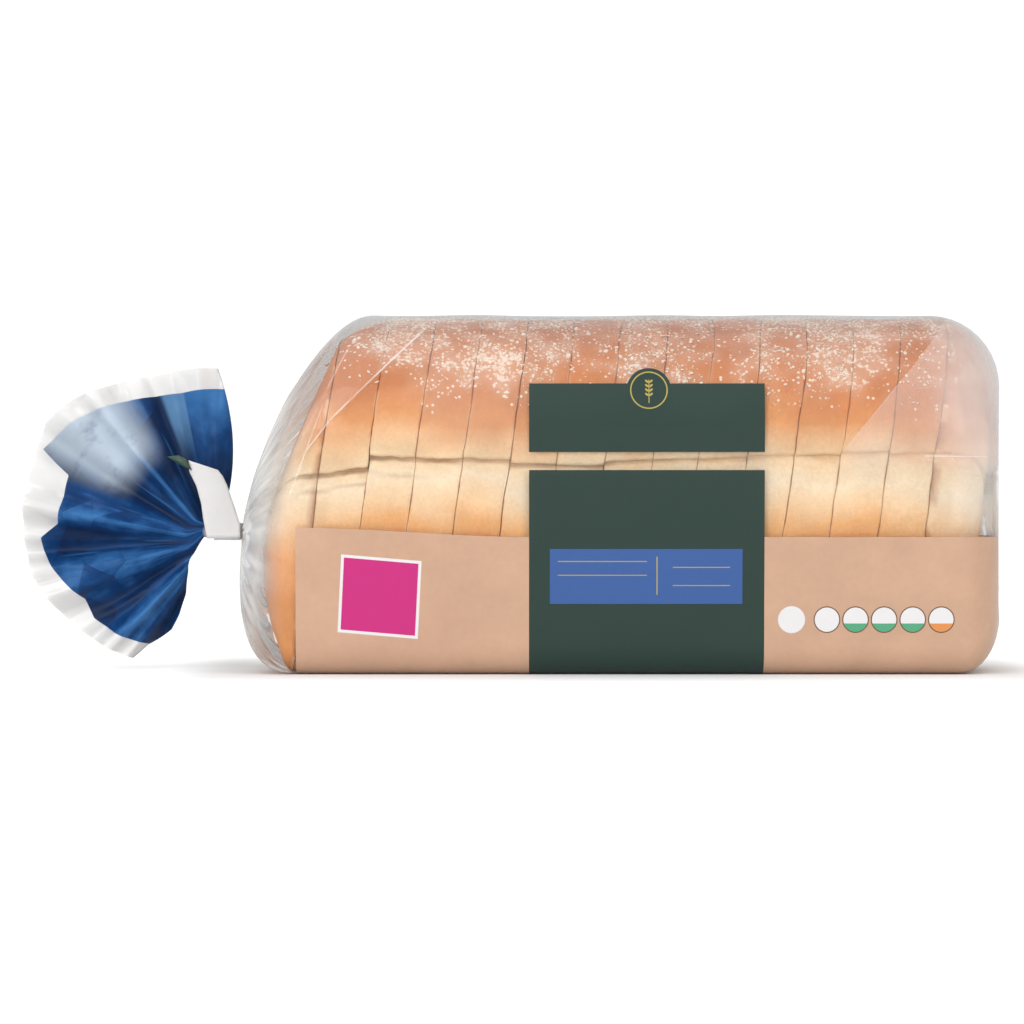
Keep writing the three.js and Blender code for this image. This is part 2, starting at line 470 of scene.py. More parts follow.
def group_tree(
    name: str, inputs: dict[str, float], outputs: list[str]
) -> tuple[Tree, dict[str, Socket], bpy.types.Node]:
    """A new shader group with plain number inputs.

    Args:
        name: The group's name.
        inputs: Its inputs' names and what each is when nothing is given.
        outputs: Its outputs' names.

    Returns:
        The tree, its input values by name and its output node.
    """
    group = bpy.data.node_groups.new(name, "ShaderNodeTree")
    for label, value in inputs.items():
        socket = group.interface.new_socket(label, in_out="INPUT", socket_type="NodeSocketFloat")
        socket.default_value = value
    for label in outputs:
        group.interface.new_socket(label, in_out="OUTPUT", socket_type="NodeSocketFloat")
    tree = Tree(group)
    entry = tree.node("NodeGroupInput")
    return tree, {label: entry.outputs[label] for label in inputs}, tree.node("NodeGroupOutput")


def placed_group() -> bpy.types.NodeTree:
    """The group that gives a point's own place in millimetres.

    Returns:
        The group.
    """
    tree, _, out = group_tree("Millimetres", {}, ["X", "Y", "Z"])
    place = tree.here()
    parts = tree.node("ShaderNodeSeparateXYZ", {0: tree.shade(place, 1 / MM)})
    for label in "XYZ":
        tree.give(out.inputs[label], parts.outputs[label])
    return tree.tree


def patch_group() -> bpy.types.NodeTree:
    """The group that masks one upright printed rectangle.

    Returns:
        The group.
    """
    inputs = {"Across": 0.0, "Up": 0.0, "Left": 0.0, "Right": 1.0, "Foot": 0.0, "Head": 1.0}
    tree, given, out = group_tree("Printed patch", inputs, ["Mask"])
    sides = tree.product(
        tree.above(given["Across"], given["Left"]),
        tree.below(given["Across"], given["Right"]),
        tree.above(given["Up"], given["Foot"]),
        tree.below(given["Up"], given["Head"]),
    )
    tree.give(out.inputs["Mask"], sides)
    return tree.tree


def crease_group() -> bpy.types.NodeTree:
    """The group that gives a straight crease's line and the side of it that a point is on.

    Returns:
        The group.
    """
    inputs = dict.fromkeys(("Across", "Up", "Start X", "Start Z"), 0.0)
    inputs |= {"End X": 1.0, "End Z": 1.0, "Width": 0.5}
    tree, given, out = group_tree("Film crease", inputs, ["Line", "Side"])
    run_x = tree.minus(given["End X"], given["Start X"])
    run_z = tree.minus(given["End Z"], given["Start Z"])
    length = tree.length(run_x, run_z)
    from_x = tree.minus(given["Across"], given["Start X"])
    from_z = tree.minus(given["Up"], given["Start Z"])
    cross = tree.minus(tree.product(from_x, run_z), tree.product(from_z, run_x))
    off = tree.ratio(cross, length)
    dot = tree.total(tree.product(from_x, run_x), tree.product(from_z, run_z))
    along = tree.ratio(dot, tree.product(length, length))
    ends = tree.product(tree.rise(along, -0.08, 0.08), tree.rise(along, 1.08, 0.92))
    width = tree.ratio(tree.math("ABSOLUTE", off), given["Width"])
    tree.give(out.inputs["Line"], tree.product(tree.rise(width, 1.0, 0.0), ends))
    tree.give(out.inputs["Side"], tree.rise(off, -0.4, 0.4))
    return tree.tree


def mottle_group() -> bpy.types.NodeTree:
    """The group that makes a factor that wavers round 1, for mottled colours.

    Returns:
        The group.
    """
    inputs = {"Size mm": 10.0, "Strength": 0.1, "Seed": 0.0}
    tree, given, out = group_tree("Mottle", inputs, ["Factor"])
    place = tree.here()
    moved = tree.node("ShaderNodeVectorMath", {0: place, 1: given["Seed"]}, operation="ADD")
    scale = tree.ratio(1 / MM, given["Size mm"])
    fine = tree.noise(moved.outputs[0], 1.0, detail=4.0)
    tree.give(fine.node.inputs["Scale"], scale)
    wander = tree.product(tree.minus(fine, 0.5), given["Strength"], 2.0)
    tree.give(out.inputs["Factor"], tree.total(wander, 1.0))
    return tree.tree


GROUPS = {
    "place": placed_group(),
    "patch": patch_group(),
    "crease": crease_group(),
    "mottle": mottle_group(),
}


class Finish:
    """What every finish shares: a fresh material and the groups placed in it."""

    def start(self, name: str) -> tuple[bpy.types.Material, Tree]:
        """A new material with an empty tree.

        Args:
            name: The material's name.

        Returns:
            The material and its tree.
        """
        made = bpy.data.materials.new(name)
        made.use_nodes = True
        return made, Tree(made.node_tree)

    def group(self, tree: Tree, name: str, **given: Value) -> bpy.types.Node:
        """Places one of the shared groups.

        Args:
            tree: The material's tree.
            name: The group's key.
            **given: Inputs by name, with _ for a space.

        Returns:
            The group's node.
        """
        made = tree.node("ShaderNodeGroup", node_tree=GROUPS[name])
        for label, value in given.items():
            tree.give(made.inputs[label.replace("_", " ")], value)
        return made

    def mottle(self, tree: Tree, size: float, strength: float, seed: float) -> Socket:
        """A factor that wavers round 1 over a size in millimetres."""
        return self.group(tree, "mottle", Size_mm=size, Strength=strength, Seed=seed).outputs[0]

    def end(self, tree: Tree, shader: Socket) -> None:
        """Joins the finished shader to the material's output."""
        tree.node("ShaderNodeOutputMaterial", {"Surface": shader})

    def surface(self, tree: Tree, given: dict[str, Value]) -> None:
        """Ends a material that has one surface shader, with what its inputs are given."""
        self.end(tree, tree.node("ShaderNodeBsdfPrincipled", given).outputs[0])


# ---------------------------------------------------------------------------
# Finishes
# ---------------------------------------------------------------------------


@dataclass(frozen=True)
class CrustFinish(Finish):
    """Baked crust: brown floured crown, pale torn break, and cream sides that turn golden below, with
    painted shade in the break's groove and along the cuts and a painted highlight along the cuts.
    """

    height: float = 125.0
    drift: float = 17.0
    tone_drop: float = 1.6
    cleft_shade_share: float = 0.55
    seam_shade_share: float = 0.7
    cut_highlight_share: float = 0.6
    flecks: float = 480.0
    dots: float = 560.0
    stops: tuple[tuple[float, Colour], ...] = (
        (0.0, srgb(214, 142, 82)),
        (20.0, srgb(224, 152, 88)),
        (42.0, srgb(236, 164, 98)),
        (50.0, srgb(243, 186, 124)),
        (57.0, srgb(249, 214, 170)),
        (66.0, srgb(251, 232, 202)),
        (73.0, srgb(247, 222, 184)),
        (79.0, srgb(243, 202, 156)),
        (87.0, srgb(224, 158, 102)),
        (97.0, srgb(205, 132, 80)),
        (110.0, srgb(198, 126, 80)),
        (124.0, srgb(190, 119, 80)),
    )
    # Painted shade at the bottom of the break's groove.
    cleft: Colour = srgb(150, 92, 52)
    # Painted shade in the seams between slices.
    cut: Colour = srgb(176, 112, 70)
    # Painted highlight along the cuts, in the crumb's pale colour.
    cut_highlight: Colour = srgb(254, 228, 190)
    flour: Colour = srgb(246, 233, 219)

    def material(self) -> bpy.types.Material:
        """Builds the crust's material.

        Returns:
            The material.
        """
        made, tree = self.start("crust_baked")
        place = self.group(tree, "place").outputs
        where = tree.here()
        drift = tree.product(tree.minus(tree.noise(where, 48.0, detail=3.0), 0.5), self.drift)
        height = tree.total(place["Z"], drift, tree.product(tree.attribute("tone"), -self.tone_drop))
        scaled = [(at / self.height, colour) for at, colour in self.stops]
        baked = tree.ramp(tree.ratio(height, self.height), scaled)
        patches = self.mottle(tree, 13.0, 0.17, 3.0)
        specks = self.mottle(tree, 1.1, 0.13, 8.0)
        baked = tree.shade(baked, tree.product(patches, specks))
        # Painted shade: the cleft colour darkens the bottom of the break's groove, under the crown's
        # lip.
        baked = tree.blend(tree.product(tree.attribute("cleft"), self.cleft_shade_share), baked, self.cleft)
        edge, wander = tree.attribute("cut_edge"), tree.noise(where, 95.0, detail=2.0)
        # Painted shade: the crust turns darker brown along the cuts, in the seams between slices where
        # shade falls.
        seam_shade = tree.product(edge, tree.rise(wander, 0.42, 0.6), self.seam_shade_share)
        baked = tree.blend(seam_shade, baked, self.cut)
        # Painted highlight: a pale crumb-coloured line along other stretches of the cuts.
        cut_glint = tree.product(edge, tree.rise(wander, 0.5, 0.38), self.cut_highlight_share)
        baked = tree.blend(cut_glint, baked, self.cut_highlight)
        dust = self.dusting(tree, where)
        baked = tree.blend(dust, baked, self.flour)
        grain = tree.noise(where, 1500.0, detail=3.0, rough=0.6)
        skin = tree.noise(where, 260.0, detail=4.0, rough=0.6)
        relief = tree.total(grain, tree.product(skin, 1.6), tree.product(dust, 0.8))
        bump = tree.bump(relief, 0.35, 0.0006)
        given = {"Base Color": baked, "Roughness": tree.total(0.62, tree.product(dust, 0.3))}
        given |= {"Normal": bump, "Specular IOR Level": 0.3}
        self.surface(tree, given)
        return made

    def dusting(self, tree: Tree, where: Socket) -> Socket:
        """Where flour dusts the crown, thickest near its top.

        Args:
            tree: The material's tree.
            where: The point's place.

        Returns:
            How much flour covers the crust, from 0 to 1.
        """
        thick = tree.attribute("dust")
        fleck = tree.noise(where, self.flecks, detail=6.0, rough=0.72)
        both = tree.total(tree.product(thick, 0.36), fleck)
        heavy = tree.product(tree.rise(both, 0.76, 0.9), 0.85)
        off, chance = tree.cells(where, self.dots)
        present = tree.rise(tree.total(chance, tree.product(thick, 0.75)), 0.98, 1.02)
        dots = tree.product(tree.rise(off, 0.38, 0.2), present, 0.9)
        film = tree.product(tree.rise(thick, 0.2, 1.0), 0.28)
        return tree.product(tree.greatest(heavy, film, dots), tree.rise(thick, 0.02, 0.2))


@dataclass(frozen=True)
class CrumbFinish(Finish):
    """White crumb on the cut faces, with small round holes."""

    pale: Colour = srgb(250, 240, 216)
    # deep is painted shade in the holes, and random tone where the fine noise is low.
    deep: Colour = srgb(226, 204, 164)
    rind: Colour = srgb(190, 130, 84)
    holes: float = 420.0

    def material(self) -> bpy.types.Material:
        """Builds the crumb's material.

        Returns:
            The material.
        """
        made, tree = self.start("crumb_white")
        where = tree.here()
        holes = tree.node("ShaderNodeTexVoronoi", {"Vector": where, "Scale": self.holes})
        walls = tree.rise(holes.outputs["Distance"], 0.12, 0.45)
        fine = tree.noise(where, 900.0, detail=4.0)
        # Painted shade: the middles of the holes, sunk by the bump, are darker; the fine noise adds
        # random darker patches.
        colour = tree.blend(tree.product(walls, tree.rise(fine, 0.25, 0.6)), self.deep, self.pale)
        colour = tree.blend(tree.attribute("rind"), colour, self.rind)
        bump = tree.bump(walls, 0.5, 0.0005)
        given = {"Base Color": colour, "Roughness": 0.9, "Normal": bump}
        self.surface(tree, given)
        return made


@dataclass(frozen=True)
class FlourFinish(Finish):
    """Loose flour in small clumps."""

    white: Colour = srgb(244, 233, 219)

    def material(self) -> bpy.types.Material:
        """Builds the flour's material.

        Returns:
            The material.
        """
        made, tree = self.start("flour_loose")
        factor = self.mottle(tree, 2.0, 0.08, 5.0)
        given = {"Base Color": tree.shade(self.white, factor), "Roughness": 0.95}
        self.surface(tree, given)
        return made


@dataclass(frozen=True)
class TapeFinish(Finish):
    """White closing tape with a green corner."""

    white: Colour = srgb(212, 210, 209)
    green: Colour = srgb(42, 66, 52)

    def material(self) -> bpy.types.Material:
        """Builds the tape's material.

        Returns:
            The material.
        """
        made, tree = self.start("tape_white")
        factor = self.mottle(tree, 4.0, 0.04, 2.0)
        colour = tree.blend(tree.attribute("green_tip"), tree.shade(self.white, factor), self.green)
        where = tree.here()
        crumple = tree.noise(where, 300.0, detail=3.0)
        bump = tree.bump(crumple, 0.3, 0.0004)
        given = {"Base Color": colour, "Roughness": 0.42, "Normal": bump}
        self.surface(tree, given)
        return made


@dataclass(frozen=True)
class Patch:
    """One upright printed rectangle on the bag's side, in millimetres."""

    left: float
    right: float
    foot: float
    head: float
    colour: Colour


@dataclass(frozen=True)
class Crease:
    """A straight fold line in the clear film, from one point to another across its side, painted as a
    whiter line: a painted highlight.
    """

    start: tuple[float, float]
    end: tuple[float, float]
    width: float = 0.6
    strength: float = 0.5


KRAFT = srgb(190, 154, 129)
GREEN = srgb(40, 58, 52)
BLUE = srgb(57, 89, 147)
GOLD = srgb(165, 150, 79)
MAGENTA = srgb(188, 43, 118)
WHITE = srgb(216, 214, 215)
BROWN_LINE = srgb(103, 79, 62)


@dataclass(frozen=True)
class FilmFinish(Finish):
    """Clear glossy film with opaque printing: a kraft band, green and blue panels, and marks."""

    band_left: float = -73.8
    band_top: float = 47.1
    band_lift: float = 3.2
    patches: tuple[Patch, ...] = (
        Patch(5.8, 86.0, -1.0, 69.9, GREEN),
        Patch(5.8, 86.0, 76.0, 99.4, GREEN),
        Patch(12.9, 78.5, 24.3, 43.0, BLUE),
        Patch(49.2, 49.6, 27.4, 40.4, GOLD),
        Patch(15.6, 46.0, 38.6, 38.9, GOLD),
        Patch(15.6, 46.0, 33.9, 34.2, GOLD),
        Patch(54.8, 74.3, 36.6, 36.9, GOLD),
        Patch(54.8, 74.3, 30.4, 30.7, GOLD),
    )
    badge: tuple[float, float] = (46.6, 97.1)
    badge_radius: float = 7.6
    ring_radius: float = 6.2
    offer: Patch = Patch(-57.9, -32.4, 14.4, 39.1, MAGENTA)
    offer_border: float = 1.0
    dots_start: float = 102.5
    dots_pitch: float = 9.75
    dots_z: float = 18.9
    dot_radius: float = 4.35
    disc: tuple[float, float, float] = (95.3, 18.9, 4.6)
    green_foot: Colour = srgb(82, 156, 119)
    orange_foot: Colour = srgb(209, 137, 78)
    clear: Colour = srgb(238, 238, 235)
    margin: Colour = srgb(223, 222, 221)
    blush: Colour = srgb(240, 218, 208)
    # Each crease is painted as a whiter line along the fold: a painted highlight.
    creases: tuple[Crease, ...] = (
        Crease((-29.6, 119.0), (-61.9, 86.9), 0.55, 0.55),
        Crease((-61.9, 86.9), (-70.0, 76.5), 0.5, 0.45),
        Crease((-56.0, 112.0), (-73.5, 76.0), 0.5, 0.35),
        Crease((-64.0, 93.0), (-77.0, 58.0), 0.45, 0.4),
        Crease((140.0, 74.7), (164.0, 74.4), 0.5, 0.75),
        Crease((161.0, 104.0), (169.0, 60.0), 0.6, 0.4),
        Crease((133.6, 101.5), (113.2, 76.7), 0.5, 0.3),
    )
    ink_span: tuple[float, float, float] = (-60.0, 100.0, 80.0)
    ink_edge: Path = (
        (-58.5, 43.0),
        (-33.5, 50.0),
        (-24.9, 49.4),
        (-14.5, 54.6),
        (-3.6, 59.8),
        (0.7, 60.3),
        (6.0, 54.5),
        (16.6, 54.3),
        (24.3, 55.3),
        (28.1, 67.9),
        (41.0, 64.1),
        (50.2, 60.4),
        (58.1, 57.5),
        (67.9, 54.6),
        (77.8, 53.1),
        (98.7, 53.5),
    )
    # The tail's blue ink in three tones; the dark and light ones also paint shade and highlights on
    # the pleats and facets.
    ink_dark: Colour = srgb(2, 31, 69)
    ink_mid: Colour = srgb(4, 58, 112)
    ink_light: Colour = srgb(54, 110, 168)
    ink_sheer: Colour = srgb(92, 136, 178)
    ink_haze_and_sheen: Colour = srgb(186, 199, 211)
    slack_haze: float = 0.05
    painted_sheen: float = 0.05
    margin_haze: float = 0.7
    least_veil: float = 0.015
    grazing_sheen: float = 0.4
    crease_highlight: float = 0.9
    ink_cover: float = 0.985
    tail_ink_cover: float = 0.93
    clear_rough: float = 0.16
    ink_rough: float = 0.34
    shine: float = 0.8

    def material(self) -> bpy.types.Material:
        """Builds the printed film's material.

        Returns:
            The material.
        """
        made, tree = self.start("film_printed")
        place = self.group(tree, "place").outputs
        across, up, depth = place["X"], place["Z"], place["Y"]
        on_tail = tree.attribute("on_tail")
        body = tree.minus(1.0, on_tail)
        colour, ink = self.print_on_body(tree, across, up, depth)
        tail_colour, tail_ink = self.print_on_tail(tree)
        colour = tree.blend(on_tail, colour, tail_colour)
        tail_print = tree.product(tail_ink, on_tail)
        ink = tree.total(tree.product(ink, body), tail_print)
        crease_and_glint, haze, blush = self.folds(tree, across, up, depth, body)
        clear = tree.blend(tree.rise(blush, 0.0, 0.3), self.clear, self.blush)
        clear = tree.blend(on_tail, clear, self.margin)
        # Painted reflection: the film turns whiter towards grazing angles, standing in for its sheen
        # at the edges.
        edge = tree.node("ShaderNodeLayerWeight", {"Blend": 0.35}).outputs["Facing"]
        grazing = tree.product(tree.math("POWER", edge, 3.0), self.grazing_sheen)
        veil = tree.total(self.least_veil, grazing, haze, blush)
        # Painted highlight: the film turns whiter along the crease lines.
        veil = tree.greatest(tree.math("MINIMUM", veil, 0.85), tree.product(crease_and_glint, self.crease_highlight))
        paint = tree.blend(ink, clear, colour)
        where = tree.here()
        wrinkle = tree.total(
            tree.noise(where, 70.0, detail=3.0),
            tree.product(tree.noise(where, 380.0), 0.06),
            tree.product(crease_and_glint, 0.2),
        )
        bump = tree.bump(wrinkle, 0.35, 0.0009)
        gloss = tree.total(0.45, tree.product(ink, -0.3), tree.product(tail_print, -0.08))
        cover = tree.blend(on_tail, (self.ink_cover,) * 4, (self.tail_ink_cover,) * 4)
        given = {
            "Base Color": paint,
            "Roughness": tree.blend(ink, (self.clear_rough,) * 4, (self.ink_rough,) * 4),
            "Specular IOR Level": gloss,
            "Alpha": tree.greatest(veil, tree.product(ink, cover)),
            "Normal": bump,
        }
        film = tree.node("ShaderNodeBsdfPrincipled", given).outputs[0]
        mirror = tree.node("ShaderNodeBsdfGlossy", {"Roughness": 0.09, "Normal": bump})
        glance = tree.node("ShaderNodeFresnel", {"IOR": 1.42, "Normal": bump}).outputs[0]
        dulled = tree.total(1.0, tree.product(ink, -0.65), tree.product(tail_print, -0.2))
        shine = tree.product(glance, dulled, self.shine)
        both = tree.node("ShaderNodeMixShader", {0: shine, 1: film, 2: mirror.outputs[0]})
        self.end(tree, both.outputs[0])
        return made

    def mask(self, tree: Tree, across: Value, up: Value, patch: Patch) -> Socket:
        """Where one printed patch is."""
        given = {"Across": across, "Up": up, "Left": patch.left, "Right": patch.right}
        given |= {"Foot": patch.foot, "Head": patch.head}
        return self.group(tree, "patch", **given).outputs[0]

    def distance(self, tree: Tree, across: Value, up: Value, centre: tuple[float, float]) -> Socket:
        """How far a point is from a centre, across and up."""
        return tree.length(tree.minus(across, centre[0]), tree.minus(up, centre[1]))

    def print_on_body(
        self, tree: Tree, across: Socket, up: Socket, depth: Socket
    ) -> tuple[Socket, Socket]:
        """The printing round the loaf.

        Args:
            tree: The material's tree.
            across: Place along the loaf, in millimetres.
            up: Height, in millimetres.
            depth: Place across the loaf; the front is below 0.

        Returns:
            The printing's colour, and a mask of where it is.
        """
        front = tree.below(depth, 0.0)
        lift = tree.product(tree.rise(across, 6.0, self.band_left), self.band_lift)
        top = tree.total(self.band_top, lift)
        ink = tree.product(tree.above(across, self.band_left), tree.below(up, top))
        cloud = self.mottle(tree, 16.0, 0.13, 1.0)
        fibre = self.mottle(tree, 2.2, 0.05, 6.0)
        colour = tree.shade(KRAFT, tree.product(cloud, fibre))
        from_badge = self.distance(tree, across, up, self.badge)
        badge = tree.product(front, tree.below(from_badge, self.badge_radius))
        colour = tree.blend(badge, colour, GREEN)
        ink = tree.greatest(ink, badge)
        for patch in self.patches:
            mask = self.mask(tree, across, up, patch)
            if patch.colour is not GREEN:
                mask = tree.product(mask, front)
            colour = tree.blend(mask, colour, patch.colour)
            ink = tree.greatest(ink, mask)
        colour = tree.blend(tree.product(front, self.emblem(tree, across, up)), colour, GOLD)
        for mask, shade in self.marks(tree, across, up):
            colour = tree.blend(tree.product(mask, front), colour, shade)
        return colour, ink

    def emblem(self, tree: Tree, across: Socket, up: Socket) -> Socket:
        """A plain ring round an ear of wheat, on the badge.

        Args:
            tree: The material's tree.
            across: Place along the loaf, in millimetres.
            up: Height, in millimetres.

        Returns:
            The emblem's mask.
        """
        off = self.distance(tree, across, up, self.badge)
        ring = tree.math("COMPARE", off, self.ring_radius, 0.22)
        side = tree.math("ABSOLUTE", tree.minus(across, self.badge[0]))
        rise = tree.minus(up, self.badge[1])
        in_ear = self.mask(tree, side, rise, Patch(-0.1, 1.6, -2.0, 4.0, GOLD))
        row = tree.minus(tree.math("WRAP", rise, 0.75, -0.75), tree.product(side, 0.55))
        grain_x = tree.ratio(tree.minus(side, 0.72), 0.62)
        grain_z = tree.ratio(tree.total(row, 0.35), 0.42)
        round_it = tree.total(tree.product(grain_x, grain_x), tree.product(grain_z, grain_z))
        grains = tree.product(tree.below(round_it, 1.0), in_ear)
        stalk = self.mask(tree, side, rise, Patch(-0.1, 0.16, -4.4, 3.6, GOLD))
        return tree.greatest(ring, grains, stalk)

    def marks(self, tree: Tree, across: Socket, up: Socket) -> list[tuple[Socket, Value]]:
        """The bordered square, the row of dots and the plain disc on the kraft band.

        Args:
            tree: The material's tree.
            across: Place along the loaf, in millimetres.
            up: Height, in millimetres.

        Returns:
            Each mark's mask and colour, lowest first.
        """
        offer = self.offer
        middle_x = (offer.left + offer.right) / 2
        middle_z = (offer.foot + offer.head) / 2
        level = tree.total(up, tree.product(tree.minus(across, middle_x), 0.085))
        upright = tree.minus(across, tree.product(tree.minus(up, middle_z), 0.05))
        rim = self.offer_border
        border = Patch(offer.left - rim, offer.right + rim, offer.foot - rim, offer.head + rim, WHITE)
        found = [(self.mask(tree, upright, level, border), WHITE)]
        found.append((self.mask(tree, upright, level, offer), MAGENTA))
        along = tree.ratio(tree.minus(across, self.dots_start), self.dots_pitch)
        index = tree.math("FLOOR", along)
        local = tree.product(tree.minus(tree.math("FRACT", along), 0.5), self.dots_pitch)
        in_row = tree.product(tree.above(index, -0.5), tree.below(index, 4.5))
        off = self.distance(tree, local, up, (0.0, self.dots_z))
        dot = tree.product(tree.below(off, self.dot_radius), in_row)
        low = tree.below(up, self.dots_z - 1.3)
        foot = tree.product(dot, low, tree.above(index, 0.5))
        tint = tree.blend(tree.above(index, 3.5), self.green_foot, self.orange_foot)
        outline = tree.product(tree.math("COMPARE", off, self.dot_radius, 0.2), in_row)
        found += [(dot, WHITE), (foot, tint), (outline, BROWN_LINE)]
        from_disc = self.distance(tree, across, up, self.disc[:2])
        found.append((tree.below(from_disc, self.disc[2]), WHITE))
        return found

    def print_on_tail(self, tree: Tree) -> tuple[Socket, Socket]:
        """The blue printing on the tail, with painted shade and highlights along its pleats and
        facets, and a whitish patch of haze and painted sheen where it lies flat.

        Args:
            tree: The material's tree.

        Returns:
            The printing's colour, and a mask of where it is.
        """
        angle = tree.attribute("tail_angle")
        reach = tree.attribute("tail_reach")
        layer = tree.attribute("tail_layer")
        fold = tree.attribute("tail_fold")
        # Painted shade and highlights: the ink is lighter and darker in streaks along the pleats,
        # across crumpled facets and from ridge to valley, over noise that varies its tone.
        ray = tree.vector(tree.product(angle, 7.0), tree.product(reach, 0.035), layer)
        streak = tree.noise(ray, 1.3, detail=2.5, rough=0.55)
        spot = tree.vector(tree.product(angle, 3.0), tree.product(reach, 0.07), layer)
        cloud = tree.noise(spot, 1.5, detail=4.0, rough=0.6)
        off, tilt = tree.cells(spot, 1.0)
        facet = tree.product(tree.minus(tilt, 0.5), tree.rise(reach, 14.0, 34.0))
        tone = tree.total(
            0.14,
            tree.product(streak, 0.48),
            tree.product(cloud, 0.28),
            tree.product(facet, 0.17),
            tree.product(off, -0.1),
            tree.product(fold, -0.13),
        )
        colour = tree.ramp(tone, [(0.33, self.ink_dark), (0.5, self.ink_mid), (0.68, self.ink_light)])
        # Painted shade in the pleats' valleys and painted highlight on their ridges.
        inner = tree.rise(reach, 62.0, 26.0)
        valley_shade = tree.product(tree.rise(fold, 0.72, 1.05), inner, 0.85)
        colour = tree.blend(valley_shade, colour, self.ink_dark)
        ridge_highlight = tree.product(tree.rise(fold, -0.8, -1.1), inner, tree.rise(reach, 5.0, 16.0), 0.5)
        colour = tree.blend(ridge_highlight, colour, self.ink_light)
        # Painted highlights: thin bright lines along the pleats.
        thin = tree.vector(tree.product(angle, 22.0), tree.product(reach, 0.02), layer)
        glint_noise = tree.noise(thin, 1.0, detail=1.0)
        bright = tree.product(tree.rise(glint_noise, 0.67, 0.71), tree.rise(reach, 8.0, 20.0), 0.4)
        colour = tree.blend(bright, colour, self.ink_light)
        panel = tree.product(tree.rise(angle, 1.35, 1.38), 0.85)
        light = tree.total(tree.product(reach, 0.022), tree.product(cloud, 0.6))
        flat = [(0.0, self.ink_dark), (0.4, self.ink_mid), (1.0, self.ink_light)]
        colour = tree.blend(panel, colour, tree.ramp(tree.rise(light, 0.7, 1.6), flat))
        sheer = tree.product(
            tree.rise(angle, 1.2, 1.24),
            tree.rise(angle, 1.38, 1.36),
            tree.rise(reach, 26.0, 48.0),
            0.75,
        )
        colour = tree.blend(sheer, colour, self.ink_sheer)
        # A whitish patch where the tail lies flat: the film's own haze and painted sheen.
        haze_and_sheen = tree.product(
            tree.rise(angle, 0.36, 0.62),
            tree.rise(angle, 1.12, 0.88),
            tree.rise(reach, 30.0, 44.0),
            tree.total(0.55, tree.product(tree.rise(cloud, 0.25, 0.5), 0.45)),
            0.9,
        )
        colour = tree.blend(haze_and_sheen, colour, self.ink_haze_and_sheen)
        return colour, self.ink_on_tail(tree, angle, reach)

    def ink_on_tail(self, tree: Tree, angle: Socket, reach: Socket) -> Socket:
        """Where the tail is printed, out to the ink's uneven edge.

        Args:
            tree: The material's tree.
            angle: The direction from the neck, in radians.
            reach: How far out from the neck, in millimetres.

        Returns:
            The ink's mask.
        """
        low, high, far = self.ink_span
        stops = [((at - low) / (high - low), (rim / far,) * 3 + (1.0,)) for at, rim in self.ink_edge]
        turned = tree.rise(tree.math("DEGREES", angle), low, high, smooth=False)
        return tree.above(tree.product(tree.ramp(turned, stops), far), reach)

    def folds(
        self, tree: Tree, across: Socket, up: Socket, depth: Socket, body: Socket
    ) -> tuple[Socket, Socket, Socket]:
        """Where the clear film is creased, and how milky it is.

        The first crease bounds the slack film over the neck end, and the last one bounds the film
        that lies loose over the sealed end.

        Args:
            tree: The material's tree.
            across: Place along the loaf, in millimetres.
            up: Height, in millimetres.
            depth: Place across the loaf.
            body: A mask of the film round the loaf.

        Returns:
            The crease lines, which are painted highlights; the whitish haze, which holds real haze and
            patches of painted sheen; and the warm haze, each as a share.
        """
        crease_and_glint: Value = 0.0
        sides = []
        for crease in self.creases:
            given = {"Across": across, "Up": up, "Width": crease.width}
            given |= {"Start_X": crease.start[0], "Start_Z": crease.start[1]}
            given |= {"End_X": crease.end[0], "End_Z": crease.end[1]}
            made = self.group(tree, "crease", **given).outputs
            crease_and_glint = tree.greatest(crease_and_glint, tree.product(made["Line"], crease.strength))
            sides.append(made["Side"])
        where = tree.here()
        soft = tree.noise(where, 45.0, detail=3.0)
        flank = tree.above(tree.math("ABSOLUTE", depth), 30.0)
        crease_and_glint = tree.product(crease_and_glint, body, flank, tree.rise(soft, 0.2, 0.5))
        slack = tree.product(sides[0], tree.rise(across, -20.0, -60.0), self.slack_haze)
        strand = tree.vector(
            tree.product(tree.attribute("strand_up"), 7.0),
            tree.product(tree.attribute("strand_side"), 7.0),
            tree.product(tree.attribute("gather"), 0.9),
        )
        streak = tree.rise(tree.noise(strand, 1.2, detail=2.0, rough=0.5), 0.25, 0.75)
        close = tree.rise(tree.attribute("gather"), 0.1, 0.78)
        gather = tree.product(close, tree.total(0.56, tree.product(streak, 0.36)))
        # Painted sheen: cloudy patches where the film is painted whiter.
        cloud = tree.rise(tree.noise(where, 22.0, detail=1.0), 0.52, 0.7)
        sheen_patch = tree.product(cloud, self.painted_sheen)
        haze = tree.product(tree.total(slack, gather, sheen_patch), body)
        margin = tree.product(tree.minus(1.0, body), self.margin_haze)
        loose = tree.product(tree.minus(1.0, sides[-1]), tree.rise(across, 105.0, 118.0), body)
        upper = tree.rise(up, 64.0, 78.0)
        blush = tree.product(loose, upper, tree.total(0.12, tree.product(soft, 0.14)))
        turned = tree.product(tree.rise(across, 138.0, 163.0), tree.rise(up, 40.0, 60.0), body)
        turned = tree.product(turned, tree.total(0.12, tree.product(soft, 0.3)))
        return crease_and_glint, tree.total(haze, margin, turned), blush


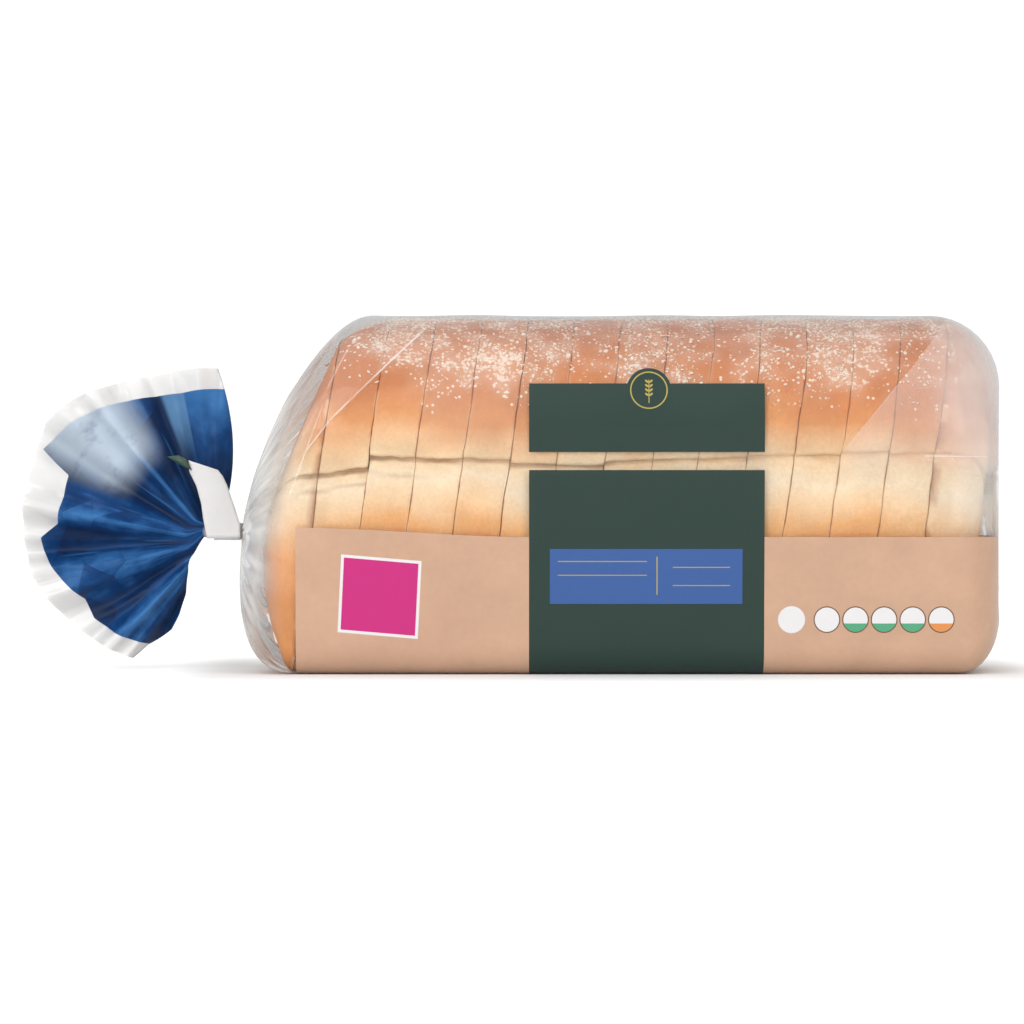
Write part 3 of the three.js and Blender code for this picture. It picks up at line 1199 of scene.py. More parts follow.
@dataclass(frozen=True)
class FloorFinish(Finish):
    """A matt white floor that turns up into the backdrop, with a painted glow away from the loaf."""

    white: Colour = (0.79, 0.79, 0.79, 1.0)
    glow: float = 0.3
    glow_reach: float = 0.11
    shaded_middle: float = 0.035
    shaded_half: tuple[float, float] = (0.133, 0.05)
    end_haste: float = 4.0

    def material(self) -> bpy.types.Material:
        """Builds the floor's material, which glows a little except close to the loaf.

        Returns:
            The material.
        """
        made, tree = self.start("floor_white")
        where = tree.here()
        parts = tree.node("ShaderNodeSeparateXYZ", {0: where}).outputs
        off_x = tree.math("ABSOLUTE", tree.minus(parts["X"], self.shaded_middle))
        past_x = tree.greatest(tree.minus(off_x, self.shaded_half[0]), 0.0)
        off_y = tree.math("ABSOLUTE", parts["Y"])
        past_y = tree.greatest(tree.minus(off_y, self.shaded_half[1]), 0.0)
        away = tree.length(tree.product(past_x, self.end_haste), past_y)
        # Painted light: the floor glows for camera rays only, away from the loaf, which whitens out
        # its shadows there; close to the loaf the contact shadow stays.
        seen = tree.node("ShaderNodeLightPath").outputs["Is Camera Ray"]
        share = tree.product(tree.rise(away, 0.0, self.glow_reach), seen, self.glow)
        given = {"Base Color": self.white, "Roughness": 0.9, "Specular IOR Level": 0.1}
        given |= {"Emission Color": tree.shade((1.0, 1.0, 1.0), share), "Emission Strength": 1.0}
        self.surface(tree, given)
        return made


# ---------------------------------------------------------------------------
# Bread
# ---------------------------------------------------------------------------


@dataclass(frozen=True)
class BreadSection:
    """Half of the bread's outline across the loaf: tin base and side, break, and crown."""

    base: float = 0.75
    base_half: float = 49.0
    corner: float = 10.0
    draft: float = 0.4
    tin_half: float = 53.2
    rim_z: float = 66.5
    break_half: float = 51.6
    break_z: float = 70.5
    crown_half: float = 55.6
    crown_z: float = 83.0
    shoulder_rise: float = 22.0
    shoulder_in: float = 15.0
    top: float = 122.6
    steps: int = 112
    finer: float = 3.2
    finer_span: float = 5.0

    def half(self) -> np.ndarray:
        """The outline's Y and Z from the middle of the base to the top, closest at the break.

        Returns:
            The outline's points, one in each row.
        """
        fine = np.linspace(0, 1, 60)[:, None]
        side = self.base_half + self.draft
        corner = [(self.base_half - self.corner, self.base), (self.base_half, self.base)]
        corner.append((side, self.base + self.corner))
        swell = [(self.break_half, self.break_z), (self.crown_half, self.break_z)]
        swell.append((self.crown_half, self.crown_z))
        crown = [(self.crown_half, self.crown_z), (self.crown_half, self.crown_z + self.shoulder_rise)]
        crown += [(self.crown_half - self.shoulder_in, self.top), (0.0, self.top)]
        straight = [((0.0, self.base), corner[0]), (corner[-1], (self.tin_half, self.rim_z))]
        straight.append(((self.tin_half, self.rim_z), swell[0]))
        bottom, wall, lip = (mix(np.array(a), np.array(b), fine) for a, b in straight)
        curves = [bezier([np.array(p) for p in points], fine) for points in (corner, swell, crown)]
        dense = np.concatenate([bottom, curves[0], wall, lip, curves[1], curves[2]])
        steps = np.linalg.norm(np.diff(dense, axis=0), axis=1)
        middle = (dense[1:, 1] + dense[:-1, 1]) / 2
        steps = steps * (1 + self.finer * np.exp(-(((middle - self.break_z) / self.finer_span) ** 2)))
        return spaced_by(dense, np.concatenate([[0.0], np.cumsum(steps)]), self.steps)


def whole_loop(half: np.ndarray) -> np.ndarray:
    """A closed loop of Y and Z from half of one, running up the +Y side."""
    mirrored = half[-2:0:-1] * np.array([-1.0, 1.0])
    return np.concatenate([half, mirrored])


def grid_normals(rows: np.ndarray) -> np.ndarray:
    """Outward unit vectors of a surface given as closed loops that run towards +X.

    Args:
        rows: The loops of points, one loop in each row.

    Returns:
        One vector for each point.
    """
    around = np.roll(rows, -1, axis=1) - np.roll(rows, 1, axis=1)
    along = np.gradient(rows, axis=0)
    across = np.cross(around, along)
    return across / np.maximum(np.linalg.norm(across, axis=-1, keepdims=True), 1e-9)


@dataclass
class Loaf:
    """The sliced loaf: thirteen slices between two crust ends, leaning along the bag."""

    crust: CrustFinish = field(default_factory=CrustFinish)
    crumb: CrumbFinish = field(default_factory=CrumbFinish)
    section: BreadSection = field(default_factory=BreadSection)
    lean: float = 0.135
    pitch: float = 16.1
    gap: float = 0.14
    inner_count: int = 13
    first_cut: float = -65.4
    neck_fall: tuple[float, float, float] = (-44.0, 38.0, 0.42)
    sealed_fall: tuple[float, float, float] = (136.0, 46.0, 0.2)
    neck_reach: float = 17.8
    sealed_reach: float = 21.5
    heel_loops: int = 16
    heel_middle: float = 50.0
    heel_span: float = 80.0
    edge_rows: Path = ((0.0, 0.3), (0.16, 0.11), (0.45, 0.02))
    rows: int = 13
    face_shares: tuple[float, ...] = (0.985, 0.95, 0.88, 0.75, 0.55, 0.3)
    flat_share: float = 0.97
    cleft_depth: float = 1.5
    lip: float = 0.6
    cut_flattening: float = 0.6
    heel_tone: float = -2.6
    edge_run: float = 1.3
    side_apart: float = 50.0
    cut_apart: float = 40.0
    stray: float = 0.6
    break_run: Path = (
        (-65.4, 68.4),
        (-49.4, 70.4),
        (-49.2, 74.7),
        (-17.0, 73.5),
        (31.0, 72.0),
        (62.0, 74.0),
        (136.0, 75.4),
        (165.0, 74.4),
    )

    def rise(self, x: np.ndarray) -> np.ndarray:
        """The share of the crown's full rise that stands at a distance along the loaf.

        Args:
            x: Places along the loaf.

        Returns:
            One share for each place.
        """
        neck_x, neck_run, neck_share = self.neck_fall
        sealed_x, sealed_run, sealed_share = self.sealed_fall
        past_neck = np.maximum(0, (neck_x - x) / neck_run)
        past_sealed = np.maximum(0, (x - sealed_x) / sealed_run)
        swell = 0.006 * noise_at(np.stack([x, x * 0, x * 0], axis=-1), 23.0, 4.0)
        return 1.012 + swell - neck_share * past_neck**2 - sealed_share * past_sealed**2

    def break_height(self, x: np.ndarray, y: np.ndarray, step: float) -> np.ndarray:
        """The height of the oven break, which wanders most at the neck end.

        Args:
            x: Place along the loaf.
            y: Place across it; each side has its own break.
            step: How far this slice's break stands from its neighbours'.

        Returns:
            The break's height at each place.
        """
        side = np.sign(y) * self.side_apart
        place = np.stack([x, side, x * 0], axis=-1)
        ragged = smoothstep(x, 10.0, -50.0)
        wander = 0.6 * noise_at(place, 26.0, 1.0) + (0.3 + 0.7 * ragged) * noise_at(place, 8.0, 2.0)
        wander = wander + (0.15 + 0.5 * ragged) * noise_at(place, 2.6, 4.0)
        return np.interp(x, *zip(*self.break_run)) + wander + step * 0.6

    def surface(self, x: np.ndarray, step: float) -> tuple[np.ndarray, np.ndarray]:
        """Loops of the crust before its relief.

        Args:
            x: Where each loop crosses the height of the break, one for each loop.
            step: The slice's own change of its break's height.

        Returns:
            The loops' points, and each point's height over the break.
        """
        outline = whole_loop(self.section.half())
        y, z = np.broadcast_arrays(outline[None, :, 0], outline[None, :, 1])
        along = np.broadcast_to(x[:, None], (len(x), len(outline)))
        y = np.broadcast_to(y, along.shape)
        break_z = self.section.break_z
        broken = self.break_height(along, y, step)
        over = z - break_z
        near = np.exp(-((over / 11.0) ** 2))
        height = np.where(over > 0, break_z + over * self.rise(along), z)
        height = height + (broken - break_z) * near
        points = np.stack([along + self.lean * (height - break_z), y, height], axis=-1)
        return points, height - broken

    def relief(self, points: np.ndarray, over: np.ndarray) -> tuple[np.ndarray, np.ndarray]:
        """How far the crust stands out, and how deep in the break a point is.

        Args:
            points: The crust's points.
            over: Each one's height over the break.

        Returns:
            The relief in millimetres, and a share that is 1 at the break's bottom.
        """
        broad = 0.4 * noise_at(points, 19.0, 3.0) + 0.14 * noise_at(points, 4.5, 5.0)
        x = points[..., 0]
        torn_zone = np.exp(-(((over + 3.0) / 3.4) ** 2))
        torn = 0.75 * torn_zone * noise_at(points * np.array([1.0, 1.0, 2.0]), 4.2, 9.0)
        patchy = 0.55 + 0.45 * noise_at(points * np.array([1.0, 1.0, 0.2]), 9.0, 12.0)
        patchy = np.clip(patchy + 0.35 * smoothstep(x, 0.0, -50.0), 0.15, 1.2)
        floor = np.where(over < 0, np.exp(-((over / 0.75) ** 2)), np.exp(-((over / 0.35) ** 2)))
        level = points * np.array([1.0, 1.0, 0.0])
        ledge_z = 5.8 + 1.0 * noise_at(level, 11.0, 21.0)
        ledge_on = smoothstep(noise_at(level, 16.0, 25.0), 0.0, 0.25) * smoothstep(x, 0.0, -40.0)
        ledge = 0.6 * ledge_on * np.exp(-(((over + ledge_z) / 0.5) ** 2))
        floor = np.maximum(floor, ledge)
        lip = self.lip * np.exp(-(((over - 1.2) / 0.9) ** 2))
        shallow = mix(1.0, 0.5, smoothstep(x, 20.0, 90.0))
        patchy = patchy * shallow * mix(0.25, 1.0, smoothstep(x, -76.0, -66.0))
        return broad + torn - self.cleft_depth * floor * patchy + lip * patchy, floor * patchy

    def dust(self, points: np.ndarray) -> np.ndarray:
        """How thickly flour lies at each point of the crown, from 0 to 1.

        Args:
            points: The crust's points.

        Returns:
            One share for each point.
        """
        reach = smoothstep(points[..., 2], 80.0, 107.0)
        clumps = 0.45 * noise_at(points, 21.0, 6.0) + 0.38 * noise_at(points, 7.5, 7.0)
        ends = 0.5 * smoothstep(points[..., 0], -38.0, -58.0)
        return np.clip(0.62 + clumps - 0.95 * (1 - reach) - ends, 0, 1)

    def close(
        self, crust: np.ndarray, cut_ends: tuple[bool, bool]
    ) -> tuple[np.ndarray, list[tuple[int, ...]], int]:
        """Points and faces of a closed piece of bread.

        Args:
            crust: Its loops of crust, running towards +X.
            cut_ends: Whether its -X and +X ends are cut faces; the others close in a point.

        Returns:
            The points, the faces, and how many faces are crust.
        """
        rows, count = crust.shape[:2]
        faces = loft_faces(rows, count)
        points = [crust.reshape(-1, 3)]
        total = rows * count
        first = np.arange(count)
        ends = list(zip((crust[0], crust[-1]), (first, total - count + first), cut_ends, (-0.5, 0.5)))
        for loop, edge, cut, _ in ends:
            if not cut:
                points.append(loop.mean(axis=0)[None, :])
                faces.extend(fan(edge, total))
                total += 1
        crust_faces = len(faces)
        for loop, edge, cut, side in ends:
            if not cut:
                continue
            middle = loop.mean(axis=0)
            towards = np.array([side * self.gap, 0.0, 0.0])
            for share in self.face_shares:
                points.append(middle + (loop - middle) * share + towards * (share < self.flat_share))
                ring = total + first
                corners = (edge, np.roll(edge, -1), np.roll(ring, -1), ring)
                faces.extend(zip(*(corner.tolist() for corner in corners)))
                edge = ring
                total += count
            points.append((middle + towards)[None, :])
            faces.extend(fan(edge, total))
            total += 1
        return np.concatenate(points), faces, crust_faces

    def dress(
        self, name: str, crust: np.ndarray, over: np.ndarray, edge: np.ndarray, tone: float
    ) -> bpy.types.Object:
        """Makes one piece of bread, with its relief, its values and its materials.

        Args:
            name: The piece's name.
            crust: Its loops of crust.
            over: Each point's height over the break.
            edge: How near each point is to a cut, from 0 to 1.
            tone: How much more than others this piece is baked.

        Returns:
            The piece.
        """
        relief, cleft = self.relief(crust, over)
        normals = grid_normals(crust)
        cut_ends = (name != self.heel_name(End.NECK), name != self.heel_name(End.SEALED))
        if all(cut_ends):
            normals = outward(crust)
        dressed = crust + normals * (relief * (1 - self.cut_flattening * edge))[..., None]
        points, faces, crust_faces = self.close(dressed, cut_ends)
        piece = add_mesh(name, points, faces)
        # cleft is painted as shade in the break's groove; cut_edge as shade and highlight along the
        # cuts.
        for label, values in (("cleft", cleft), ("cut_edge", edge), ("dust", self.dust(crust))):
            whole = np.zeros(len(points))
            whole[: values.size] = values.ravel()
            store(piece, label, whole)
        store(piece, "tone", np.full(len(points), tone))
        rind = np.ones(len(points))
        rind[crust.shape[0] * crust.shape[1] :] = 0.0
        store(piece, "rind", rind)
        kinds = np.ones(len(faces), dtype=np.int32)
        kinds[:crust_faces] = 0
        piece.data.polygons.foreach_set("material_index", kinds)
        face_out(piece)
        return piece

    def heel_name(self, end: End) -> str:
        """The name of the bread at one end."""
        return f"crust_heel_{end.name.lower()}"

    def cut_at(self, index: int) -> float:
        """Where the cut of a number lies along the loaf."""
        return self.first_cut + self.pitch * index

    def cut_shape(self, index: int) -> tuple[np.ndarray, np.ndarray]:
        """The shape of a cut, which the bread on both of its sides shares.

        Args:
            index: The cut's number.

        Returns:
            How far it strays from flat at each point of the outline, and how worn its edge is there.
        """
        outline = whole_loop(self.section.half())
        place = np.concatenate([np.full((len(outline), 1), self.cut_apart * index), outline], axis=1)
        stray = self.stray * (noise_at(place, 21.0, 31.0) + 0.45 * noise_at(place, 5.0, 33.0))
        worn = np.clip(1.0 + 1.5 * noise_at(place, 8.0, 35.0), 0.25, 2.2)
        return stray, worn

    def slice_between(self, index: int, draw: np.random.Generator) -> bpy.types.Object:
        """Makes one slice, moved a little across the loaf.

        Args:
            index: The number of its -X cut.
            draw: Gives the slice's own small changes.

        Returns:
            The slice.
        """
        low = self.cut_at(index) + self.gap / 2
        high = self.cut_at(index + 1) - self.gap / 2
        ends = np.array([place for place, _ in self.edge_rows])
        insets = np.array([inset for _, inset in self.edge_rows])
        inner = np.linspace(low + self.edge_run, high - self.edge_run, self.rows)
        x = np.concatenate([low + ends, inner, high - ends[::-1]])
        inset = np.concatenate([insets, np.zeros(self.rows), insets[::-1]])
        step, across, up, tone = draw.normal(0.0, (0.9, 0.22, 0.16, 1.0))
        crust, over = self.surface(x, step)
        near_stray, near_worn = self.cut_shape(index)
        far_stray, far_worn = self.cut_shape(index + 1)
        share = ((x - low) / (high - low))[:, None]
        crust[..., 0] += mix(near_stray, far_stray, share)
        crust = crust - outward(crust) * (inset[:, None] * mix(near_worn, far_worn, share))[..., None]
        crust[..., 1] += np.clip(across, -0.4, 0.4)
        crust[..., 2] += np.clip(up, -0.3, 0.3) * smoothstep(crust[..., 2], 5.0, 40.0)
        edge = np.clip(inset / insets[0], 0, 1)
        edge = np.broadcast_to(edge[:, None], over.shape)
        return self.dress(f"bread_slice_{index + 2:02d}", crust, over, edge, tone)

    def swell(self, z: np.ndarray, end: End) -> np.ndarray:
        """The share of a crust end's reach that it has at a height.

        Args:
            z: Heights.
            end: Which end of the loaf it is.

        Returns:
            One share for each height.
        """
        off = np.abs(z - self.heel_middle) / self.heel_span
        if end is End.SEALED:
            return 1 - 0.35 * off**2
        return np.where(z > self.heel_middle, 1 - 1.23 * off**1.3, 1 - 1.5 * off**1.75)

    def heel(self, end: End) -> bpy.types.Object:
        """Makes one crust end, drawn in over loops from its cut to a point.

        Args:
            end: Which end of the loaf it is.

        Returns:
            The crust end.
        """
        index = 0 if end is End.NECK else self.inner_count
        at = self.cut_at(index) + end.value * self.gap / 2
        cut, over = self.surface(np.array([at]), 0.0)
        cut[..., 0] += self.cut_shape(index)[0]
        power, reach = (0.6, self.neck_reach) if end is End.NECK else (0.45, self.sealed_reach)
        turn = np.linspace(0, 0.992, self.heel_loops) ** 1.25 * math.pi / 2
        shrink = np.cos(turn)[:, None] ** power
        z = self.heel_middle + (cut[..., 2] - self.heel_middle) * shrink
        out = reach * np.sin(turn)[:, None] ** 0.85 * self.swell(z, end)
        x = cut[..., 0] + self.lean * (z - cut[..., 2]) + end.value * out
        loops = np.stack([x, cut[..., 1] * shrink, z], axis=-1)
        over = np.broadcast_to(over, z.shape) + (z - cut[..., 2]) * 0.25
        edge = np.broadcast_to(np.clip(1 - turn / 0.12, 0, 1)[:, None], z.shape)
        if end is End.NECK:
            loops, over, edge = loops[::-1], over[::-1], edge[::-1]
        return self.dress(self.heel_name(end), loops, over, edge, self.heel_tone)

    def build(self) -> list[bpy.types.Object]:
        """Makes and settles every piece of bread.

        Returns:
            The pieces, from the neck end on.
        """
        draw = np.random.default_rng(SEED)
        crust, crumb = self.crust.material(), self.crumb.material()
        pieces = [self.heel(End.NECK)]
        pieces += [self.slice_between(index, draw) for index in range(self.inner_count)]
        pieces.append(self.heel(End.SEALED))
        nodes = ["heel_neck_end"]
        nodes += [f"slice_{index + 2:02d}" for index in range(self.inner_count)]
        nodes.append("heel_sealed_end")
        for piece, node in zip(pieces, nodes):
            piece.data.materials.append(crust)
            piece.data.materials.append(crumb)
            settle(piece, Slot.CRUST, node)
        return pieces


@dataclass
class Flour:
    """Flecks of flour scattered over the crown in clumps."""

    finish: FlourFinish = field(default_factory=FlourFinish)
    start: float = -72.0
    end: float = 140.0
    spacing: float = 1.6
    lowest: float = 86.0
    density: float = 800000.0
    size: float = 0.0009

    def skin(self, loaf: Loaf) -> bpy.types.Object:
        """The crown's skin that the flecks lie on.

        Args:
            loaf: The loaf that they lie on.

        Returns:
            A strip of mesh with how thick the flour is stored on it.
        """
        x = np.arange(self.start, self.end, self.spacing)
        points, over = loaf.surface(x, 0.0)
        relief, _ = loaf.relief(points, over)
        points = points + outward(points) * relief[..., None]
        points = points[:, points[0, :, 2] > self.lowest]
        rows, count = points.shape[:2]
        skin = add_mesh("flour_skin", points, grid_faces(rows, count).tolist())
        store(skin, "dust", loaf.dust(points) ** 2)
        return skin

    def scatter_tree(self) -> tuple[bpy.types.NodeTree, dict[str, str]]:
        """The tree that strews flattened flecks over a surface.

        Returns:
            The tree, and its inputs' identifiers by name.
        """
        group = bpy.data.node_groups.new("Strewn flour", "GeometryNodeTree")
        kinds = {"Surface": "Geometry", "Density": "Float", "Size": "Float", "Seed": "Int"}
        kinds["Finish"] = "Material"
        names = {}
        for label, sort in kinds.items():
            socket = group.interface.new_socket(label, in_out="INPUT", socket_type=f"NodeSocket{sort}")
            names[label] = socket.identifier
        group.interface.new_socket("Flecks", in_out="OUTPUT", socket_type="NodeSocketGeometry")
        tree = Tree(group)
        given = tree.node("NodeGroupInput").outputs
        thick = tree.node("GeometryNodeInputNamedAttribute", {"Name": "dust"}, data_type="FLOAT")
        density = tree.math("MULTIPLY", given["Density"], thick.outputs["Attribute"])
        strewn = tree.node("GeometryNodeDistributePointsOnFaces", {"Mesh": given["Surface"]})
        tree.give(strewn.inputs["Density"], density)
        tree.give(strewn.inputs["Seed"], given["Seed"])
        fleck = tree.node("GeometryNodeMeshIcoSphere", {"Radius": given["Size"], "Subdivisions": 1})
        seeded = {"Seed": given["Seed"]}
        kind = "FunctionNodeRandomValue"
        least, most = (0.25, 0.25, 0.2), (1.0, 1.0, 0.45)
        spread = tree.node(kind, seeded | {0: least, 1: most}, data_type="FLOAT_VECTOR")
        odd = tree.node(kind, seeded | {2: 0.0, 3: 1.0}, data_type="FLOAT")
        bigger = tree.math("ADD", tree.math("POWER", odd.outputs[1], 3.0), 0.45)
        scale = tree.shade(spread.outputs[0], bigger)
        most = (0.5, 0.5, 2 * math.pi)
        spin = tree.node(kind, seeded | {0: (0.0, 0.0, 0.0), 1: most}, data_type="FLOAT_VECTOR")
        turn = tree.node("FunctionNodeEulerToRotation", {0: spin.outputs[0]})
        turned = tree.node("FunctionNodeRotateRotation", {0: strewn.outputs["Rotation"]})
        turned.rotation_space = "LOCAL"
        tree.give(turned.inputs[1], turn.outputs[0])
        placed = tree.node("GeometryNodeInstanceOnPoints", {"Points": strewn.outputs["Points"]})
        tree.give(placed.inputs["Instance"], fleck.outputs["Mesh"])
        tree.give(placed.inputs["Rotation"], turned.outputs[0])
        tree.give(placed.inputs["Scale"], scale)
        real = tree.node("GeometryNodeRealizeInstances", {0: placed.outputs[0]})
        coloured = tree.node("GeometryNodeSetMaterial", {"Geometry": real.outputs[0]})
        tree.give(coloured.inputs["Material"], given["Finish"])
        tree.node("NodeGroupOutput", {0: coloured.outputs[0]})
        return group, names

    def build(self, loaf: Loaf) -> bpy.types.Object:
        """Makes and settles the flecks as one plain mesh.

        Args:
            loaf: The loaf that they lie on.

        Returns:
            The flecks.
        """
        skin = self.skin(loaf)
        group, names = self.scatter_tree()
        scatter = skin.modifiers.new("Strewn flour", "NODES")
        scatter.node_group = group
        scatter[names["Density"]] = self.density
        scatter[names["Size"]] = self.size
        scatter[names["Seed"]] = SEED
        scatter[names["Finish"]] = self.finish.material()
        evaluated = skin.evaluated_get(bpy.context.evaluated_depsgraph_get())
        mesh = bpy.data.meshes.new_from_object(evaluated)
        bpy.data.objects.remove(skin)
        flecks = bpy.data.objects.new("flour_flecks", mesh)
        bpy.context.scene.collection.objects.link(flecks)
        mesh.shade_smooth()
        settle(flecks, Slot.CRUST)
        return flecks


# ---------------------------------------------------------------------------
# Bag and tape
# ---------------------------------------------------------------------------


@dataclass
class Bag:
    """The film bag: one layer from its sealed end, round the loaf and through the neck to its tail."""

    finish: FilmFinish = field(default_factory=FilmFinish)
    base_half: float = 51.2
    corner: float = 11.0
    draft: float = 0.5
    wide_half: float = 57.2
    wide_z: float = 84.0
    shoulder_rise: float = 21.0
    shoulder_in: float = 14.0
    top: float = 124.5
    quarter: int = 80
    tuck_z: float = 73.0
    lean: float = 0.135
    break_z: float = 70.5
    sealed_x: float = 171.5
    sealed_run: float = 31.5
    sealed_corner: float = 18.0
    upper_corner: float = 25.0
    seam_z: float = 69.5
    fin_length: float = 8.0
    fin_share: float = 0.86
    end_rows: tuple[int, int, int] = (10, 14, 6)
    end_fall: float = 0.12
    dish: float = 1.4
    body_rows: int = 84
    neck_start: float = -60.0
    neck_lean: float = 0.2
    neck_x: float = -94.8
    neck_z: float = 48.6
    neck_radius: float = 2.5
    neck_rows: int = 46
    run: tuple[float, float, float] = (12.0, 17.0, 7.0)
    spread: tuple[float, float, float] = (0.62, 0.38, 0.12)
    forward: tuple[float, float, float] = (-0.5, 12.0, -3.0)
    width_kept: float = 0.86
    hub_x: float = -105.7
    apex_z: float = 45.6
    tail_rows: int = 44
    rim: Path = (
        (-56.2, 50.1),
        (-43.9, 53.3),
        (-33.2, 56.9),
        (-22.4, 60.3),
        (-11.6, 64.1),
        (-1.8, 66.1),
        (6.1, 66.7),
        (23.7, 68.6),
        (34.6, 71.8),
        (42.5, 70.6),
        (54.2, 65.9),
        (70.0, 61.4),
        (91.9, 60.6),
    )
    lower_edge: Path = (
        (0.0, -30.0),
        (0.07, -33.5),
        (0.16, -41.0),
        (0.24, -53.0),
        (0.32, -59.0),
        (0.4, -63.8),
        (0.56, -66.0),
        (0.68, -65.5),
        (0.86, -58.5),
        (1.0, -56.2),
    )
    upper_edge: float = 91.5
    upper_swing: float = 22.5
    stand_back: float = 7.5
    pleat_depth: float = 4.6
    pleats: float = 10.5
    ripple_depth: float = 2.3
    flat: tuple[float, float] = (0.42, 0.43)

    def half(self) -> np.ndarray:
        """Half of the film's outline round the loaf, its two quarters evenly spaced.

        Returns:
            The outline's Y and Z, one point in each row.
        """
        fine = np.linspace(0, 1, 80)[:, None]
        side = (self.base_half + self.draft, self.corner)
        corner = [(self.base_half - self.corner, 0.0), (self.base_half, 0.0), side]
        wide = (self.wide_half, self.wide_z)
        crown = [wide, (self.wide_half, self.wide_z + self.shoulder_rise)]
        crown += [(self.wide_half - self.shoulder_in, self.top), (0.0, self.top)]
        bottom = mix(np.zeros(2), np.array(corner[0]), fine)
        wall = mix(np.array(side), np.array(wide), fine)
        curves = [bezier([np.array(p) for p in points], fine) for points in (corner, crown)]
        dense = np.concatenate([bottom, curves[0][1:], wall[1:], curves[1][1:]])
        share = (self.tuck_z - self.corner) / (self.wide_z - self.corner)
        tuck = mix(np.array(side), np.array(wide), share)
        low = dense[dense[:, 1] < self.tuck_z]
        high = dense[dense[:, 1] > self.tuck_z]
        lower = evenly(np.concatenate([low, tuck[None]]), self.quarter)
        upper = evenly(np.concatenate([tuck[None], high]), self.quarter)
        return np.concatenate([lower, upper[1:]])

    def directions(self, loop: np.ndarray) -> np.ndarray:
        """The direction of each of the loop's points, as an angle that grows evenly along it."""
        steps = np.linalg.norm(np.roll(loop, -1, axis=0) - loop, axis=1)
        along = np.concatenate([[0.0], np.cumsum(steps)[:-1]])
        return along / steps.sum() * 2 * math.pi

    def body(self, loop: np.ndarray, x: np.ndarray, lean: float) -> np.ndarray:
        """Loops of film round the loaf.

        Args:
            loop: The outline's Y and Z.
            x: Where each loop crosses the height of the break.
            lean: How far the loops lean towards +X for each unit of height.

        Returns:
            The loops.
        """
        y = np.broadcast_to(loop[:, 0], (len(x), len(loop)))
        z = np.broadcast_to(loop[:, 1], y.shape)
        return np.stack([x[:, None] + lean * (z - self.break_z), y, z], axis=-1)

    def sealed_end(self, loop: np.ndarray) -> np.ndarray:
        """The end that is sealed: a rounded corner, an end face, and the seam folded down over it.

        Args:
            loop: The outline's Y and Z.

        Returns:
            Loops that run from the corner's start to the seam's edge.
        """
        middle = self.top / 2
        start = self.body(loop, np.array([self.sealed_x - self.sealed_run]), self.lean)[0]
        rows = []
        corner_rows, face_rows, fin_rows = self.end_rows
        higher = smoothstep(start[:, 2], 45.0, 112.0)
        corner = mix(self.sealed_corner, self.upper_corner, higher)
        for angle in np.linspace(0, math.pi / 2, corner_rows + 1):
            drawn = corner * (1 - math.cos(angle))
            x = self.sealed_x - corner + corner * math.sin(angle)
            y = start[:, 1] * (1 - drawn / self.wide_half)
            z = middle + (start[:, 2] - middle) * (1 - drawn / middle)
            rows.append(np.stack([x - self.dome(y) * math.sin(angle), y, z], axis=1))
        face = rows[-1]
        count = len(loop)
        index = np.arange(count)
        quarters = np.minimum(index, count - index) / self.quarter
        lower = quarters <= 1
        aside = np.where(lower, quarters, 2 - quarters)
        target = np.sign(face[:, 1]) * np.abs(face[:, 1]).max() * aside * self.fin_share
        side = np.where(lower, -1.0, 1.0) * np.where(aside < 1, 1.0, 0.0)
        for share in np.linspace(0, 1, face_rows + 1)[1:]:
            y = mix(face[:, 1], target, share**1.5)
            z = mix(face[:, 2], self.seam_z + 0.3 * side, share)
            place = np.stack([y * 0, y, z], axis=1)
            ray = np.arctan2(z - self.seam_z, np.abs(face[:, 1]).max() * 0.9 - np.abs(y))
            crease = 1 - 2 * np.abs(np.sin(5.0 * ray + np.sign(y) + 1.5 * noise_at(place, 20.0, 8.0)))
            fold = math.sin(math.pi * share) * (0.7 * crease + 0.8 * noise_at(place, 9.0, 2.0) - 0.5)
            x = self.sealed_x - self.dish * share + fold + 0.4 * side * share - self.dome(y)
            rows.append(np.stack([x, y, z], axis=1))
        for share in np.linspace(0, 1, fin_rows + 1)[1:]:
            y = target * (1 - 0.2 * share)
            rib = 0.12 * math.cos(6 * math.pi * share)
            x = self.sealed_x - self.dish + 0.35 + rib + 0.25 * side * (1 - share) - self.dome(y)
            rows.append(np.stack([x, y, self.seam_z - self.fin_length * share + y * 0], axis=1))
        return np.array(rows)

    def dome(self, y: np.ndarray) -> np.ndarray:
        """How far the sealed end falls back at a distance to either side."""
        return self.end_fall * (np.hypot(y, 4.0) - 4.0)

    def strands(self, loop: np.ndarray, direction: np.ndarray) -> tuple[np.ndarray, np.ndarray]:
        """The neck end: each strand of film runs over the bread's end to the neck in one curve.

        Args:
            loop: The outline's Y and Z.
            direction: Each point's direction.

        Returns:
            Loops from just past the loaf to the neck, and each one's share of the way.
        """
        start = self.body(loop, np.array([self.neck_start]), self.neck_lean)[0]
        upper = (1 - np.cos(direction)) / 2
        aside = np.abs(np.sin(direction))

        def value(numbers: tuple[float, float, float]) -> np.ndarray:
            """A number for each strand, from its values at the base, at the top and to either side."""
            return mix(numbers[0], numbers[1], upper) + numbers[2] * aside

